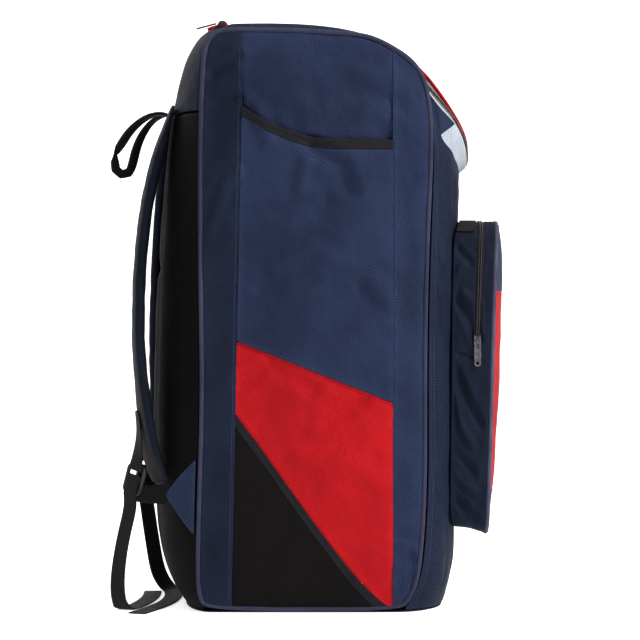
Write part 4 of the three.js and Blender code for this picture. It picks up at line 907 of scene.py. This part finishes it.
def laid(points, directions, tree, lift=0.0002):
    """Points moved along their directions onto the cloth; a miss ends the line."""
    runs, run = [], []
    for point, direction in zip(points, directions):
        hit, normal, _, _ = tree.ray_cast(Vector(point), Vector(direction), 0.4)
        if hit is None:
            if len(run) > 2:
                runs.append(run)
            run = []
            continue
        run.append(hit - Vector(direction).normalized() * lift)
    if len(run) > 2:
        runs.append(run)
    return runs


def between(low, high, step):
    count = max(2, int(abs(high - low) / step))
    return [low + (high - low) * i / count for i in range(count + 1)]


# %% Seam lines of the side panels
def back_seam(z):
    return 0.117 + (0.101 - 0.117) * z / 0.769


def across_panel(share, z):
    return back_seam(z) + (-0.096 - back_seam(z)) * share


mesh_edge = [(0.0, 1.0), (0.16, 0.84), (0.364, 0.61), (0.578, 0.38), (0.743, 0.205), (0.9, 0.075)]


def mesh_top(share):
    for (a, up_a), (b, up_b) in zip(mesh_edge, mesh_edge[1:]):
        if a <= share <= b:
            return 0.262 * (up_a + (up_b - up_a) * (share - a) / (b - a))
    return 0.02


def mouth(share):
    return 0.623 + 0.045 * max(0.0, 1 - share / 0.62) ** 2


def panel_line(height_at, low=0.0, high=1.0):
    """A line across the middle of a side, from the back seam to the front seam."""
    return [(across_panel(share, height_at(share)), height_at(share))
            for share in between(low, high, 0.02)]


seam_lines = {
    "navy": [
        [(back_seam(z) + 0.004, z) for z in between(0.02, 0.745, 0.006)],
        [(-0.100, z) for z in between(0.03, 0.735, 0.006)],
        panel_line(lambda share: 0.358 - 0.081 * share + 0.004, 0.01, 0.99),
    ],
    "red": [
        panel_line(lambda share: 0.358 - 0.081 * share - 0.004, 0.01, 0.99),
        panel_line(lambda share: mesh_top(share) + 0.004, 0.02, 0.86),
    ],
    "black": [
        panel_line(lambda share: mouth(share) - 0.0025, 0.01, 0.99),
        panel_line(lambda share: mouth(share) - 0.0105, 0.01, 0.99),
        panel_line(lambda share: mesh_top(share) - 0.0025, 0.02, 0.86),
        panel_line(lambda share: mesh_top(share) - 0.0145, 0.02, 0.8),
    ],
}
threads = {
    "navy": (thread_navy, "navy_cloth"),
    "red": (thread_red, "red_cloth"),
    "black": (thread_black, "black_webbing"),
}
stitch_spacing, stitch_length, stitch_radius = 0.0046, 0.0034, 0.00042
side_tree = {
    side: tree_of([piece for node, piece in cloth_pieces.items() if node.endswith(side)])
    for side in ("left", "right")}

for side, out in (("left", -1), ("right", 1)):
    for tone, lines in seam_lines.items():
        paths = []
        for line in lines:
            starts = [(out * 0.35, y, z) for y, z in line]
            paths += laid(starts, [(-out, 0, 0)] * len(line), side_tree[side])
        rods_along(f"side_stitches_{tone}_{side}", paths, stitch_spacing, stitch_length,
                   stitch_radius, *threads[tone])

# %% [markdown]
# ## Stitches beside the piping, the zip and on the pocket
# The wrap-around wall is sewn to the piping, so a line of stitches follows it there. The lid
# and the zip tape have their own lines.

# %% Stitches of the wrap-around wall
wall_tree = tree_of([cloth_pieces[n] for n in (
    "front_panel", "lid", "back_yoke", "main_zip_tape", "front_crescent")])
for side, out in (("left", -1), ("right", 1)):
    loop = walk(rings_of("side_piping_" + side, 0.0036), (out * 0.15, 0.0, 0.77))
    ring = spline(loop, 0.006, closed=True)
    starts, ways = [], []
    for i, place in enumerate(ring):
        along = ring[(i + 1) % len(ring)] - ring[i - 1]
        away = Vector((0, along.z, -along.y)).normalized()
        if away.dot(place - Vector((place.x, 0, 0.4))) < 0:
            away.negate()
        starts.append(Vector((out * 0.1425, place.y, place.z)) + away * 0.12)
        ways.append(-away)
    rods_along("wall_stitches_" + side, laid(starts, ways, wall_tree),
               stitch_spacing, stitch_length, stitch_radius, thread_navy, "navy_cloth")


def zip_line(path, partner, away):
    """A stitch line beside a zip path, dropped onto the cloth."""
    moved = beside(path, partner, [away] * len(path))
    tree = wall_tree
    runs = []
    for place in moved:
        hit = tree.find_nearest(place)
        if hit[0] is not None:
            runs.append(hit[0] + hit[1] * 0.0003)
    return runs


lid_inner = zip_line(lid_path, zip_path, -0.0062)
tape_lines = [zip_line(zip_path, lid_path, away) for away in (-0.0062, 0.0055)]
rods_along("lid_stitches", [lid_inner], stitch_spacing, stitch_length, stitch_radius,
           thread_navy, "navy_cloth")
rods_along("tape_stitches", tape_lines, 0.003, 0.0024, 0.00035, thread_black, "black_zip")

# %% Stitches of the pocket face
face_tree = tree_of([cloth_pieces["pocket_face_" + part] for part in ("top", "red", "foot")])


def face_line(height):
    row = [(x, -0.45, height) for x in between(-0.106, 0.106, 0.006)]
    return laid(row, [(0, 1, 0)] * 60, face_tree)


rods_along("pocket_stitches_red", face_line(0.421) + face_line(0.163),
           stitch_spacing, stitch_length, stitch_radius, thread_red, "red_cloth")
rods_along("pocket_stitches_navy", face_line(0.429) + face_line(0.154),
           stitch_spacing, stitch_length, stitch_radius, thread_navy, "navy_cloth")

# %% [markdown]
# ## Count the triangles
# The shown pieces are added up in triangles. The dressed bag may be only a little
# larger than its frame.

# %% Count the triangles
triangles = sum(sum(len(face.vertices) - 2 for face in piece.data.polygons)
                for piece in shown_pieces() if piece.type == "MESH")
print("triangles:", triangles)
